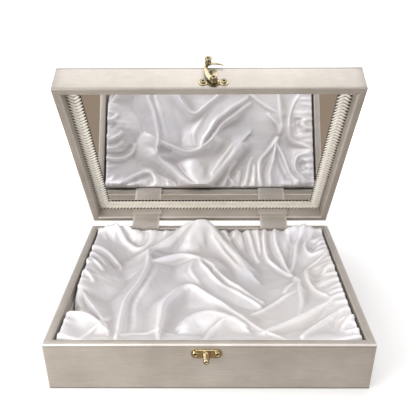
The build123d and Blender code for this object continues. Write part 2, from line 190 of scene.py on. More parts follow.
def place(tree, scale=(1, 1, 1), turn=(0, 0, 0)):
    """Object coordinates, turned and scaled for one pattern."""
    coords = tree.nodes.new("ShaderNodeTexCoord")
    turned = add(tree, "Mapping", {"Vector": coords.outputs["Object"]}, Rotation=turn)
    return add(tree, "Mapping", {"Vector": turned.outputs["Vector"]}, Scale=scale).outputs["Vector"]


def noise_at(tree, spot, scale, detail, **more):
    return add(tree, "TexNoise", {"Vector": spot}, Scale=scale, Detail=detail, **more).outputs["Fac"]


def carried(tree, name):
    """A value that the mesh carries at its points."""
    node = tree.nodes.new("ShaderNodeAttribute")
    node.attribute_name = name
    return node.outputs["Fac"]


def between(tree, value, low, high, **more):
    """A value that ran from 0 to 1, or between the limits given, made to run from low to high."""
    return add(tree, "MapRange", {"Value": value}, To_Min=low, To_Max=high, **more).outputs["Result"]


def combined(tree, operation, one, other):
    node = add(tree, "Math", {0: one, 1: other})
    node.operation = operation
    return node.outputs["Value"]


def multiplied(tree, colour, other):
    node = add(tree, "MixRGB", {"Color1": colour, "Color2": other}, Fac=1)
    node.blend_type = "MULTIPLY"
    return node.outputs["Color"]


def ramp(tree, factor, stops):
    """A colour ramp through (position, colour) stops."""
    node = add(tree, "ValToRGB", {"Fac": factor})
    elements = node.color_ramp.elements
    for index, (position, colour) in enumerate(stops):
        element = elements[index] if index < 2 else elements.new(position)
        element.position = position
        element.color = (*colour, 1)
    return node.outputs["Color"]


def dress(tree, shader, colour, rough=None, relief=None, **values):
    """Joins colour, roughness and relief (height, strength, depth) to a shader and sets the rest."""
    tree.links.new(colour, shader.inputs["Base Color"])
    if rough:
        tree.links.new(rough, shader.inputs["Roughness"])
    if relief:
        height, strength, depth = relief
        bump = add(tree, "Bump", {"Height": height}, Strength=strength, Distance=depth)
        tree.links.new(bump.outputs["Normal"], shader.inputs["Normal"])
    for key, value in values.items():
        shader.inputs[key.replace("_", " ")].default_value = value


def darker(colour, share):
    return tuple(share * part for part in colour)


# Materials
white = (1, 1, 1)
unturned = (0, 0, 0)
lid_turn = (open_angle, 0, 0)


def leather_material(name, finish, brush_scale, turn):
    """Pearly leather: fine grain, faint brushed lines along the wall, soft mottling and painted edge light
    and shade.
    """
    made, tree, shader = new_material(name)
    even = place(tree, turn=turn)
    lines = noise_at(tree, place(tree, brush_scale, turn), 1, 3)
    clouds = noise_at(tree, even, 28, 4, Roughness=0.6)
    grain = add(tree, "TexVoronoi", {"Vector": even}, Scale=900).outputs["Distance"]
    pores = noise_at(tree, even, 2600, 2)
    painted_edge_shading = carried(tree, "painted_edge_shading")
    streak = ramp(tree, lines, [(0.3, (0.86, 0.86, 0.86)), (0.7, white)])
    pit = ramp(tree, grain, [(0.0, (0.93, 0.92, 0.91)), (0.5, white)])
    # Painted highlight on rounded edges, up to brighter than white, and painted shade in bands beside them
    painted_edge_light_and_shade = ramp(tree, between(tree, painted_edge_shading, 0, 1, From_Min=-1), [
        (0.0, (0.42, 0.40, 0.38)), (0.5, white), (1.0, (1.75, 1.8, 1.9))])
    colour = ramp(tree, clouds, [(0.3, finish.leather_colour), (0.72, finish.leather_light)])
    for layer in (streak, pit, painted_edge_light_and_shade):
        colour = multiplied(tree, colour, layer)
    rough = combined(
        tree, "MULTIPLY", between(tree, clouds, 0.36, 0.50), between(tree, painted_edge_shading, 1.0, 0.75))
    height = combined(tree, "ADD", combined(tree, "ADD", grain, pores), lines)
    dress(
        tree, shader, colour, rough, (height, 0.22, 0.12 * mm),
        Metallic=0.38, Coat_Weight=0.12, Coat_Roughness=0.35)
    return made


def satin_material(finish):
    """White satin: smooth sheen, faint weave, slightly uneven tone, painted highlight on crests and painted
    shade in hollows.
    """
    made, tree, shader = new_material("satin")
    tone = noise_at(tree, place(tree), 14, 2)
    colour = ramp(tree, tone, [(0.35, finish.satin_colour), (0.65, finish.satin_warm)])
    # Painted highlight where the cloth stands up above its surroundings and painted shade where it sinks
    stands = between(tree, carried(tree, "crest"), 0, 1, From_Min=-1.6, From_Max=1.6)
    painted_crest_shading = ramp(tree, stands, [(0.1, (0.87, 0.85, 0.84)), (0.5, white), (0.7, (1.18, 1.18, 1.19))])
    weave = noise_at(tree, place(tree, (900, 3200, 900)), 1, 1)
    slub = noise_at(tree, place(tree, (60, 700, 60)), 1, 3)
    dress(
        tree, shader, multiplied(tree, colour, painted_crest_shading), between(tree, slub, 0.36, 0.44),
        (combined(tree, "ADD", weave, slub), 0.10, 0.05 * mm),
        Metallic=0.18, Specular_IOR_Level=0.35, Sheen_Weight=0.12, Sheen_Roughness=0.4)
    return made


def braid_material(name, cream):
    """Cream thread of slightly uneven tone."""
    made, tree, shader = new_material(name)
    even = place(tree)
    thread = noise_at(tree, even, 1900, 3)
    tone = noise_at(tree, even, 90, 2)
    both = combined(tree, "ADD", thread, tone)
    colour = ramp(tree, both, [(0.7, darker(cream, 0.84)), (0.95, cream)])
    dress(tree, shader, colour, None, (thread, 0.5, 0.15 * mm), Roughness=0.62, Sheen_Weight=0.3)
    return made


def brass_material(name, bright):
    """Polished brass with faint polishing marks and a little tarnish."""
    made, tree, shader = new_material(name)
    tarnish = noise_at(tree, place(tree), 420, 4)
    marks = noise_at(tree, place(tree, (900, 5000, 5000)), 1, 2)
    colour = ramp(tree, tarnish, [(0.3, darker(bright, 0.72)), (0.7, bright)])
    dress(
        tree, shader, colour, between(tree, tarnish, 0.15, 0.28), (marks, 0.12, 0.03 * mm), Metallic=1.0)
    return made


def mirror_material():
    """Silvered glass with a faint haze."""
    made, tree, shader = new_material("mirror")
    haze = noise_at(tree, place(tree), 20, 3)
    colour = ramp(tree, haze, [(0.3, (0.80, 0.795, 0.80)), (0.7, (0.84, 0.835, 0.84))])
    dress(tree, shader, colour, between(tree, haze, 0.0, 0.02), Metallic=1.0)
    return made


def two_tone_material(name, pattern, stops, relief, values):
    """Two tones of one noise, which also gives the relief: its strength and its depth."""
    made, tree, shader = new_material(name)
    scale, detail, stretch, roughness = pattern
    tone = noise_at(tree, place(tree, stretch), scale, detail, Roughness=roughness)
    dress(tree, shader, ramp(tree, tone, stops), None, (tone, *relief), **values)
    return made


even_scale = (1, 1, 1)
# Two-tone finishes: the noise's scale, detail, stretch and roughness, then the ramp's stops, the
# relief and the shader's own values. The tape shows through the braid's gaps, near-black as painted
# shadow, and the brass's painted shade darkens bores, the lid plate round its pivot and its foot.
two_tones = {
    "braid_gap_painted_shadow": (
        (1500, 2, even_scale, 0.5), [(0.3, (0.045, 0.033, 0.02)), (0.7, (0.09, 0.07, 0.045))],
        (0.4, 0.1 * mm), {"Roughness": 0.8}),
    "brass_painted_shade": (
        (700, 4, even_scale, 0.5), [(0.35, (0.08, 0.063, 0.026)), (0.65, (0.23, 0.19, 0.10))],
        (0.2, 0.05 * mm), {"Metallic": 0.8, "Roughness": 0.38}),
    "board": (
        (1, 5, (40, 500, 500), 0.65), [(0.3, (0.42, 0.31, 0.20)), (0.7, (0.60, 0.47, 0.32))],
        (0.5, 0.1 * mm), {"Roughness": 0.75}),
    "card": (
        (1, 5, (600, 600, 600), 0.65), [(0.3, (0.40, 0.37, 0.32)), (0.7, (0.55, 0.52, 0.47))],
        (0.5, 0.1 * mm), {"Roughness": 0.85}),
    "underside_paper": (
        (1, 5, (900, 900, 900), 0.65), [(0.3, (0.05, 0.045, 0.04)), (0.7, (0.10, 0.09, 0.08))],
        (0.5, 0.2 * mm), {"Roughness": 0.7}),
    "wadding": (
        (1, 5, (300, 300, 300), 0.65), [(0.3, (0.70, 0.69, 0.67)), (0.7, (0.86, 0.85, 0.84))],
        (0.5, 0.6 * mm), {"Roughness": 0.95}),
}
# Leather finishes: how close the brushed lines lie along each axis, and the piece's turn
leather_finishes = {
    "leather": ((55, 1700, 1700), unturned),
    "leather_sides": ((1700, 55, 1700), unturned),
    "leather_lid": ((55, 1700, 1700), lid_turn),
    "leather_lid_sides": ((1700, 55, 1700), lid_turn),
}
made_materials = {}


def make_material(name):
    finish = bpy.context.scene.keepsake_finish
    if name in two_tones:
        return two_tone_material(name, *two_tones[name])
    if name in leather_finishes:
        return leather_material(name, finish, *leather_finishes[name])
    makers = {
        "satin": lambda: satin_material(finish),
        "braid": lambda: braid_material("braid", finish.braid_colour),
        # A darker copy of the thread's cream: painted shade between the braid's strands
        "braid_painted_shade": lambda: braid_material("braid_painted_shade", darker(finish.braid_colour, 0.42)),
        "brass": lambda: brass_material("brass", finish.brass_colour),
        # A darker copy of the brass: painted shade that tones down the lid's brass, which mirrors the top
        # lamp
        "brass_lid_painted_shade": lambda: brass_material("brass_lid_painted_shade", darker(finish.brass_colour, 0.6)),
        "mirror": mirror_material,
    }
    return makers[name]()


def material(name):
    """The finish of that name, made once."""
    if name not in made_materials:
        made_materials[name] = make_material(name)
    return made_materials[name]


# Small helpers for meshes
hair = 0.01 * mm


def cut(bm, at, normal, near=hair, **more):
    """Cuts a whole mesh along a plane."""
    geom = bm.verts[:] + bm.edges[:] + bm.faces[:]
    return bmesh.ops.bisect_plane(bm, geom=geom, plane_co=at, plane_no=normal, dist=near, **more)


def round_edges(bm, edges, radius, segments=3):
    bmesh.ops.bevel(
        bm, geom=edges, offset=radius, offset_type="OFFSET", segments=segments, profile=0.5,
        affect="EDGES", clamp_overlap=True, material=-1)


def block(width, depth, height, middle_z=0.0):
    """A plain block to start a piece from."""
    bm = bmesh.new()
    lift = Matrix.Translation((0, 0, middle_z))
    bmesh.ops.create_cube(bm, size=1, matrix=lift @ Matrix.Diagonal((width, depth, height, 1)))
    return bm


def as_mesh(name, bm):
    mesh = bpy.data.meshes.new(name)
    bm.to_mesh(mesh)
    bm.free()
    return mesh


def finished(name, bm, finishes, body, matrix=None, recalc=False, sharp=35):
    """Turns a bmesh into a smooth piece that rides on a body."""
    if matrix is not None:
        bm.transform(matrix)
    if recalc:
        bmesh.ops.recalc_face_normals(bm, faces=bm.faces)
    for face in bm.faces:
        face.smooth = True
    for edge in bm.edges:
        edge.smooth = len(edge.link_faces) == 2 and edge.calc_face_angle() < math.radians(sharp)
    mesh = as_mesh(name, bm)
    piece = bpy.data.objects.new(name, mesh)
    for finish in finishes:
        mesh.materials.append(material(finish))
    bpy.context.scene.collection.objects.link(piece)
    if body:
        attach(piece, body)
    return piece


def stand_for(node):
    """Hides the node that a piece is shown in place of."""
    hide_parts(node)


def softened(node, radius, segments=2):
    """A copy of a node's mesh with its corners merged and its sharp edges rounded."""
    bm = bmesh.new()
    bm.from_mesh(frame["nodes"][node].data)
    bmesh.ops.remove_doubles(bm, verts=bm.verts, dist=0.002 * mm)
    bmesh.ops.dissolve_limit(
        bm, angle_limit=math.radians(1.5), verts=bm.verts, edges=bm.edges, delimit=set())
    edges = [e for e in bm.edges if len(e.link_faces) == 2 and e.calc_face_angle() > math.radians(30)]
    round_edges(bm, edges, radius, segments)
    return bm


def wander(point, size, seed):
    """Smooth random value from -1 to 1 that changes over about the given size."""
    return noise.noise(Vector(point) / size + Vector((seed, 3.7 * seed, -seed)))


# Quarter turns from the front to each wall
quarters = {"front": 0, "right": 1, "rear": 2, "left": 3}


def wall_reach(quarter):
    """How far a wall's face stands out from the middle, and how far the wall runs to each side."""
    return (half_width, half_depth) if quarter % 2 else (half_depth, half_width)


# Leather shells over the frames of boards
def shell(low, high, inside_low, edge):
    """Outer walls, rim and inner walls of an open tray, as one skin with rounded edges."""
    bm = block(2 * half_width, 2 * half_depth, high - low, (low + high) / 2)
    top = max(bm.faces, key=lambda f: f.calc_center_median().z)
    bottom = min(bm.faces, key=lambda f: f.calc_center_median().z)
    bmesh.ops.inset_region(bm, faces=[top], thickness=wall, use_even_offset=True)
    made = bmesh.ops.extrude_face_region(bm, geom=[top])
    if top.is_valid:
        bmesh.ops.delete(bm, geom=[top], context="FACES_ONLY")
    moved = [g for g in made["geom"] if isinstance(g, bmesh.types.BMVert)]
    bmesh.ops.translate(bm, verts=moved, vec=(0, 0, inside_low - high))
    floor = [g for g in made["geom"] if isinstance(g, bmesh.types.BMFace)]
    bmesh.ops.delete(bm, geom=floor + [bottom], context="FACES_ONLY")
    rounded = []
    for e in bm.edges:
        a, b = e.verts[0].co, e.verts[1].co
        at_rim = min(a.z, b.z) > high - mm
        upright = abs(a.z - b.z) > mm and abs(a.x) > half_width - mm
        mitre = at_rim and abs(a.x - b.x) > mm and abs(a.y - b.y) > mm
        if (at_rim and not mitre) or upright:
            rounded.append(e)
    round_edges(bm, rounded, edge)
    return bm


def paint_edge_shading(bm, low, high, edge, rim_edge, inner_edge, rim_face):
    """Marks the values for a painted highlight on the leather's edges and painted shade in bands beside
    them.
    """
    for height in (low + 0.7 * mm, low + 1.6 * mm, high - edge - 0.4 * mm, high - edge - 1.7 * mm):
        cut(bm, (0, 0, height), (0, 0, 1))
    bm.normal_update()
    # Near the foot, bands of the outer side: the height that each reaches, and its painted shade or light
    bands = ((low + 0.1 * mm, -1.0), (low + 0.9 * mm, -0.8), (low + 2.1 * mm, 0.22))
    full_tilt, upright_edge = 0.13, 0.6
    painted_edge_shading = bm.verts.layers.float.new("painted_edge_shading")
    for v in bm.verts:
        tilt = min((1 - max(abs(part) for part in v.normal)) / full_tilt, 1)
        outer = max(abs(v.co.x) - half_width, abs(v.co.y) - half_depth) > -0.5 * wall
        if v.co.z > high - edge - 0.1 * mm:
            v[painted_edge_shading] = rim_face + tilt * ((rim_edge if outer else inner_edge) - rim_face)
        elif outer and v.co.z > high - edge - 0.6 * mm:
            v[painted_edge_shading] = -0.5
        elif outer:
            v[painted_edge_shading] = next((value for height, value in bands if v.co.z < height), tilt * upright_edge)


def cut_grid(bm, spacing):
    """Cuts a mesh along evenly spaced planes, so that it can follow small waves."""
    lows, highs = [[pick(v.co[axis] for v in bm.verts) for axis in range(3)] for pick in (min, max)]
    for axis, (low, high) in enumerate(zip(lows, highs)):
        count = int((high - low) / spacing)
        normal = Vector([1.0 if i == axis else 0.0 for i in range(3)])
        for index in range(1, count):
            cut(bm, normal * (low + (high - low) * index / count), normal)


def wall_piece(bm, side, sink, rim_height):
    """Cuts one mitred side out of a shell and dips the leather along its two mitres."""
    out, along = wall_reach(quarters[side])
    to_front = Matrix.Rotation(-quarters[side] * math.pi / 2, 4, "Z")
    piece = bm.copy()
    piece.transform(to_front)
    for end in (-1, 1):
        corner = Vector((end * along, -out, 0))
        normal = Vector((end, 1, 0)).normalized()
        for step in (1.0 * mm, 0.45 * mm):
            cut(piece, corner - normal * step, normal)
        cut(piece, corner, normal, clear_outer=True)
        piece.normal_update()
        for v in piece.verts:
            at_mitre = abs((v.co - corner).dot(normal)) < 0.05 * mm
            if at_mitre and v.co.z > rim_height - 3 * mm and abs(v.co.y + out) > 0.8 * mm:
                v.co -= Vector((0, 0, sink))
    piece.transform(to_front.inverted())
    return piece


def wave_skin(bm, amount, seed):
    """Lets the leather wander gently from flat, as glued leather does."""
    bm.normal_update()
    for v in bm.verts:
        broad = wander(v.co, 35 * mm, seed)
        fine = 0.35 * wander(v.co, 9 * mm, seed + 5)
        v.co += v.normal * amount * (broad + fine)


def add_skin(piece, thickness):
    """Gives a single surface its thickness, inwards."""
    solid = piece.modifiers.new("skin", "SOLIDIFY")
    solid.thickness = thickness
    solid.offset = -1
    solid.use_even_offset = True


def wrap_walls(bm, part, rim_height, sink, finish, names, matrix=None):
    """Cuts a shell into its mitred walls; names says which wall each side of the shell becomes."""
    for side, name in names.items():
        own_finish = finish if name in ("front", "rear") else f"{finish}_sides"
        wall_bm = wall_piece(bm, side, sink, rim_height)
        piece = finished(f"{part}_{name}_wrap", wall_bm, [own_finish], part, matrix)
        add_skin(piece, 0.9 * skin)
        stand_for(f"{part}_{name}_leather")
    bm.free()


class KEEPSAKE_OT_base_leather(bpy.types.Operator):
    """Leather over the base's four walls, mitred at the rim"""

    bl_idname = "keepsake.base_leather"
    bl_label = "Base leather"

    def execute(self, context):
        sizes = context.scene.keepsake_sizes
        bm = shell(base_foot, base_rim, inside_foot, sizes.edge_round)
        # Painted highlight on the edges, painted shade beside the rim's edge and along the foot
        paint_edge_shading(bm, base_foot, base_rim, sizes.edge_round, rim_edge=1.0, inner_edge=0.35, rim_face=0.0)
        cut_grid(bm, 9 * mm)
        wave_skin(bm, sizes.leather_wave, 1.0)
        names = {side: side for side in ("front", "rear", "left", "right")}
        wrap_walls(bm, "base", base_rim, sizes.seam_sink, "leather", names)
        return {"FINISHED"}


class KEEPSAKE_OT_lid_leather(bpy.types.Operator):
    """Leather over the lid's walls and its top"""

    bl_idname = "keepsake.lid_leather"
    bl_label = "Lid leather"

    def execute(self, context):
        sizes = context.scene.keepsake_sizes
        height = lid_top - skin - lid_rim
        bm = shell(0, height, height - (lid_inside - lid_rim), sizes.edge_round)
        # Painted highlight on the edges, painted shade on the rim's face and beside the edges
        paint_edge_shading(bm, 0, height, sizes.edge_round, rim_edge=0.6, inner_edge=0.5, rim_face=-0.2)
        painted_edge_shading = bm.verts.layers.float["painted_edge_shading"]
        # Painted shade along the outer edge of the lid front's rim
        for v in bm.verts:
            if v.co.y > half_depth - 2 * mm and v.co.z > height - sizes.edge_round:
                v[painted_edge_shading] = min(v[painted_edge_shading], -0.25)
        cut_grid(bm, 9 * mm)
        wave_skin(bm, sizes.leather_wave, 7.0)
        # The tray is turned over about X, so its front is the lid's rear
        turn_over = Matrix.Translation((0, 0, lid_rim + height)) @ Matrix.Rotation(math.pi, 4, "X")
        names = {"front": "rear", "rear": "front", "left": "left", "right": "right"}
        wrap_walls(bm, "lid", height, sizes.seam_sink, "leather_lid", names, lid_swing @ turn_over)
        self.make_top(sizes)
        return {"FINISHED"}

    def make_top(self, sizes):
        """The top's own leather, turned softly over its edges."""
        bm = block(2 * half_width, 2 * half_depth, skin, lid_top - skin / 2)
        upright = [e for e in bm.edges if abs(e.verts[0].co.z - e.verts[1].co.z) > 0.5 * skin]
        round_edges(bm, upright, sizes.edge_round)
        over = [e for e in bm.edges if min(v.co.z for v in e.verts) > lid_top - 0.1 * skin]
        round_edges(bm, over, 0.9 * skin)
        # Painted shade along the lower edge of the top's leather, where it meets the walls
        painted_edge_shading = bm.verts.layers.float.new("painted_edge_shading")
        for v in bm.verts:
            v[painted_edge_shading] = -0.8 if v.co.z < lid_top - 0.95 * skin else 0.0
        cut_grid(bm, 10 * mm)
        wave_skin(bm, sizes.leather_wave, 11.0)
        piece = finished("lid_top_wrap", bm, ["leather_lid"], "lid", lid_swing)
        stand_for("lid_top_leather")


# Straps
strap_low, strap_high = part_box("strap_hinge_left")
strap_width = strap_high.x - strap_low.x
strap_middle_x = (strap_high.x + strap_low.x) / 2
strap_skin = 1.2 * mm
strap_face = half_depth - wall - 0.9 * mm
strap_on_lid = 11 * mm


def strap_route(bulge):
    """The strap's middle line in (y, z): up the base's wall, across the gap, up the lid's wall."""
    start = Vector((0, strap_face, strap_low.z))
    rim = Vector((0, strap_face, base_rim + 0.9 * mm))
    lid_start = lid_swing @ Vector((0, strap_face, lid_rim - 0.9 * mm))
    lid_end = lid_swing @ Vector((0, strap_face, lid_rim + strap_on_lid))
    out = hinge_point - (rim + lid_start) / 2
    out.x = 0
    out.normalize()
    route = [start.lerp(rim, i / 5) for i in range(5)]
    for index in range(11):
        share = index / 10
        bow = 4 * share * (1 - share) * bulge
        route.append(rim + (lid_start - rim) * share - out * bow)
    route += [lid_start.lerp(lid_end, (i + 1) / 5) for i in range(5)]
    return route


def strap_mesh(middle_x, bulge):
    """A leather ribbon, from a flat grid laid along the route, with turned edges a little proud."""
    route = strap_route(bulge)
    last = len(route) - 1
    bm = bmesh.new()
    bmesh.ops.create_grid(bm, x_segments=18, y_segments=last, size=1)
    painted_edge_shading = bm.verts.layers.float.new("painted_edge_shading")
    for v in bm.verts:
        index = round((v.co.y + 1) / 2 * last)
        along = (route[min(index + 1, last)] - route[max(index - 1, 0)]).normalized()
        face_out = along.cross(Vector((1, 0, 0)))
        share = v.co.x * (1.25 - 0.25 * v.co.x * v.co.x)
        rim = math.exp(-((1 - abs(share)) / 0.07 - 0.6) ** 2)
        dip = 0.10 * mm * wander((share * 18 * mm, 0, index * 2.4 * mm), 8 * mm, middle_x)
        v.co = route[index] + Vector((middle_x + share * strap_width / 2, 0, 0))
        v.co += face_out * (strap_skin / 2 + 0.28 * mm * rim + dip)
        # Painted highlight along the strap's proud turned edges
        v[painted_edge_shading] = 0.6 * rim
    return bm


class KEEPSAKE_OT_straps(bpy.types.Operator):
    """Leather straps that hinge the lid, and the tabs over their glued ends"""

    bl_idname = "keepsake.straps"
    bl_label = "Straps"

    def execute(self, context):
        sizes = context.scene.keepsake_sizes
        start = Vector((0, strap_face, base_rim + 0.5 * mm))
        end = lid_swing @ Vector((0, strap_face, lid_rim - 0.5 * mm))
        for name, side in (("left", 1), ("right", -1)):
            bm = strap_mesh(side * strap_middle_x, sizes.strap_bulge)
            strap = finished(f"strap_{name}", bm, ["leather"], None, recalc=True)
            add_skin(strap, strap_skin)
            stand_for(f"strap_hinge_{name}")
            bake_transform(strap, "base", "lid", start=start, end=end)
            bm = softened(f"strap_cover_{name}", 0.35 * mm)
            tab = finished(f"strap_tab_{name}", bm, ["leather_lid"], "lid")
            stand_for(f"strap_cover_{name}")
        return {"FINISHED"}


# Satin lining. Each form is a crest line of (x, y, height) in millimetres, then how far its
# slope runs on the line's left and on its right, how round the crest is and how much it beads.
satin_forms = {
    "tent_left": ([(-4, 104, 71.5), (-11, 104, 72.5), (-19, 103, 71.5), (-29, 100, 67.5), (-42, 91, 61),
        (-54, 80, 57), (-66, 68, 54), (-74, 57, 53)], 9, 36, 5, 0),
    "tent_right": ([(-14, 104, 72.5), (-6, 103, 71.5), (2, 99, 67.5), (10, 90, 61.5), (18, 79, 56),
        (27, 66, 51), (36, 54, 47), (45, 42, 42)], 15, 34, 7, 0),
    "tent_face": ([(-12, 104, 71), (-16, 95, 66), (-20, 86, 61.5), (-24, 78, 57)], 26, 26, 12, 0),
    "tent_brow": ([(-73, 36, 50), (-59, 44, 51), (-35, 53, 51), (-12, 49, 50), (2, 35, 49), (5, 27, 46)],
        46, 10, 2, 1.0),
    "long_left": ([(-74, 58, 53), (-74, 41, 52), (-76, 20, 50), (-81, -2, 49), (-87, -20, 48),
        (-91, -38, 47), (-92, -60, 47), (-91, -104, 49)], 60, 26, 2, 3.0),
    "arch": ([(-50, -104, 48), (-52, -71, 47), (-51, -51, 47), (-47, -34, 47), (-39, -19, 47),
        (-29, -9, 46), (-18, -8, 45), (-5, -18, 44), (17, -38, 42), (33, -58, 42), (45, -72, 42),
        (59, -88, 45), (76, -104, 48)], 34, 14, 2, 2.2),
    "leaf_right": ([(-9, 46, 49), (-6, 33, 48), (4, 14, 46), (16, -1, 44), (31, -14, 42), (45, -23, 39),
        (56, -32, 36)], 12, 84, 2, 1.8),
    "leaf_left": ([(-18, 46, 46), (-21, 24, 45), (-14, 5, 42), (0, -11, 39), (17, -25, 37), (31, -37, 36),
        (46, -42, 34)], 80, 14, 2.5, 1.2),
    "leaf_step": ([(-2, 48, 48), (9, 26, 46), (27, 4, 43), (44, -12, 39), (60, -24, 35)], 10, 12, 1.5,
        1.0),
    "flap": ([(43, -48, 35), (60, -38, 35), (75, -26, 36), (89, -15, 38), (104, -7, 40)], 11, 90, 1.5,
        1.8),
    "flap_side": ([(105, -7, 41), (101, -33, 42), (96, -58, 44)], 34, 60, 1.5, 1.4),
    "long_right": ([(149, -24, 50), (133, -38, 48), (119, -47, 47), (100, -59, 46), (82, -71, 45),
        (56, -89, 46)], 20, 60, 1.5, 1.6),
    "front_right": ([(149, -50, 51), (128, -65, 50), (113, -79, 50), (92, -98, 50)], 30, 18, 2.5, 1.2),
    "front_hump": ([(-28, -74, 44), (-18, -60, 46), (-5, -56, 47), (9, -57, 47), (24, -63, 46),
        (37, -76, 45)], 14, 60, 6, 0.6),
    "front_swell": ([(-6, -104, 48), (3, -82, 47), (16, -67, 46), (25, -66, 45), (36, -75, 45)], 14, 26,
        2, 1.4),
    "pillow": ([(-152, -78, 53), (-147, -69, 54), (-134, -67, 54), (-122, -70, 52), (-112, -77, 50)], 8,
        84, 5, 0.6),
    "pillow_side": ([(-112, -77, 50), (-120, -90, 49), (-127, -104, 49)], 12, 50, 2.5, 1.0),
    "pillow_back": ([(-151, -8, 49), (-143, -20, 49), (-135, -33, 48), (-125, -48, 47), (-116, -62, 46),
        (-108, -76, 46), (-102, -92, 46)], 24, 10, 2.5, 2.0),
    "rear_left": ([(-150, 101, 54), (-139, 103, 62), (-127, 103, 65), (-115, 103, 64), (-106, 103, 59),
        (-98, 103, 53)], 22, 20, 6, 0),
    "rear_right": ([(98, 103, 52), (104, 103, 58), (112, 103, 62), (123, 103, 64), (135, 103, 61),
        (146, 101, 56)], 22, 20, 6, 0),
}
# Smaller creases lie on the forms: a line of (x, y), how far it stands up or dips, and its width
satin_creases = {
    "swoosh": ([(-133, 112), (-121, 100), (-109, 87), (-98, 80), (-88, 81), (-82, 88), (-78, 99),
        (-78, 112)], 4.2, 3.2),
    "swoosh_dip": ([(-128, 112), (-115, 102), (-103, 92), (-93, 89), (-87, 95), (-85, 104)], -4.8, 3.6),
    "swoosh_inner": ([(-118, 112), (-108, 104), (-98, 99), (-93, 106)], 2.5, 3.4),
    "corner_left": ([(-149, 104), (-143, 97), (-134, 88)], 2.6, 3.2),
    "left_one": ([(-151, 61), (-140, 66), (-127, 64), (-118, 58), (-112, 50), (-109, 38)], 4.2, 2.6),
    "left_one_dip": ([(-150, 56), (-139, 58), (-128, 56), (-120, 49), (-115, 40)], -3.4, 3.0),
    "left_two": ([(-151, 45), (-142, 49), (-132, 45), (-125, 36)], 2.8, 2.3),
    "left_three": ([(-151, 28), (-143, 35), (-133, 30), (-126, 22)], 4.0, 2.6),
    "left_three_dip": ([(-151, 40), (-142, 42), (-131, 38)], -2.4, 2.2),
    "left_four": ([(-151, -2), (-146, 8), (-138, 3), (-131, -5)], 3.6, 2.4),
    "left_four_dip": ([(-151, 14), (-143, 17), (-135, 12)], -2.6, 2.6),
    "hollow_left": ([(-150, -34), (-146, -50), (-140, -60)], -7.0, 6.0),
    "back_channel": ([(-146, -27), (-134, -41), (-122, -58), (-113, -72)], -2.2, 2.4),
    "long_channel": ([(-69, 36), (-71, 15), (-77, -5), (-82, -24), (-84, -44), (-83, -67), (-82, -92)],
        -1.5, 2.0),
    "long_second": ([(-62, 38), (-66, 14), (-72, -5), (-77, -26), (-79, -46), (-78, -67), (-77, -92)],
        1.0, 2.4),
    "pillow_dish": ([(-146, -84), (-137, -84), (-128, -88)], -3.2, 8.0),
    "tent_pocket": ([(-73, 46), (-66, 51), (-54, 53)], -3.0, 4.0),
    "tent_streak": ([(2, 88), (11, 76), (18, 59), (29, 44), (41, 34)], 2.2, 2.6),
    "tent_streak_dip": ([(8, 86), (16, 74), (24, 59), (35, 44)], -1.8, 2.8),
    "tent_second": ([(-12, 84), (-4, 68), (4, 52), (14, 34)], 0.8, 4.0),
    "star_one": ([(129, 110), (118, 89), (110, 69), (105, 52), (100, 38)], 4.2, 2.4),
    "star_one_dip": ([(120, 106), (109, 86), (102, 67), (98, 52)], -3.4, 4.5),
    "star_two": ([(86, 112), (87, 87), (90, 70), (95, 50), (103, 27)], 4.6, 2.4),
    "star_three": ([(72, 112), (72, 82), (74, 64), (82, 53), (92, 42), (102, 27)], 4.4, 2.4),
    "star_dip": ([(79, 100), (80, 82), (84, 64)], -3.0, 3.4),
    "rear_pleat_one": ([(18, 112), (22, 97), (32, 77), (40, 66)], 3.6, 2.6),
    "rear_pleat_one_dip": ([(25, 112), (29, 98), (37, 80)], -3.2, 2.8),
    "rear_pleat_two": ([(42, 112), (34, 100), (27, 90)], 3.8, 2.4),
    "rear_pleat_three": ([(51, 112), (53, 95), (58, 72), (64, 58)], 4.0, 2.6),
    "rear_pleat_three_dip": ([(45, 112), (46, 96), (50, 76)], -3.4, 2.8),
    "rear_pleat_four": ([(63, 112), (64, 92), (66, 70)], 3.4, 2.4),
    "star_arrow": ([(88, -9), (94, 1), (101, 10), (103, 24)], 3.4, 2.2),
    "star_foot": ([(103, 26), (106, 10), (106, -6)], 3.0, 2.8),
    "pocket_rim": ([(138, 98), (128, 88), (123, 76), (125, 62), (133, 57), (149, 58)], 4.2, 2.4),
    "pocket_dip": ([(137, 82), (134, 73), (138, 66)], -5.0, 5.0),
    "low_pocket_rim": ([(150, 53), (138, 47), (126, 41), (118, 33), (115, 20), (115, 7), (119, -9),
        (126, -25), (132, -34)], 4.4, 2.4),
    "low_pocket_dip": ([(128, 28), (126, 14), (129, 2)], -4.5, 6.0),
    "low_pocket_fold": ([(150, 22), (140, 20), (131, 12)], 3.0, 2.6),
    "right_curl": ([(150, -72), (140, -78), (134, -88), (140, -96)], 3.4, 2.4),
    "right_curl_dip": ([(146, -84), (141, -90)], -3.0, 3.2),
    "front_line": ([(-95, -102), (-82, -94), (-71, -88), (-57, -85), (-34, -87)], 2.6, 2.4),
    "arch_hollow": ([(-20, -30), (-24, -46), (-32, -62)], -2.5, 9.0),
    "hump_dip": ([(-2, -92), (5, -76), (15, -62)], -2.0, 2.4),
}
# How high the satin's edge stands along each wall, as (place along the wall, height)
edge_heights = {
    "left": [(-108, 55), (-75, 54), (-58, 44), (-41, 42), (-16, 53), (40, 53), (84, 54), (108, 56)],
    "right": [(-108, 54), (-52, 53), (0, 53), (25, 53), (70, 54), (108, 56)],
    "rear": [(-150, 55), (-108, 55), (-76, 54), (-14, 55), (30, 53), (74, 54), (92, 54), (120, 55),
        (150, 55)],
    "front": [(-150, 50), (-90, 49), (0, 48), (60, 48), (110, 50), (150, 50)],
}
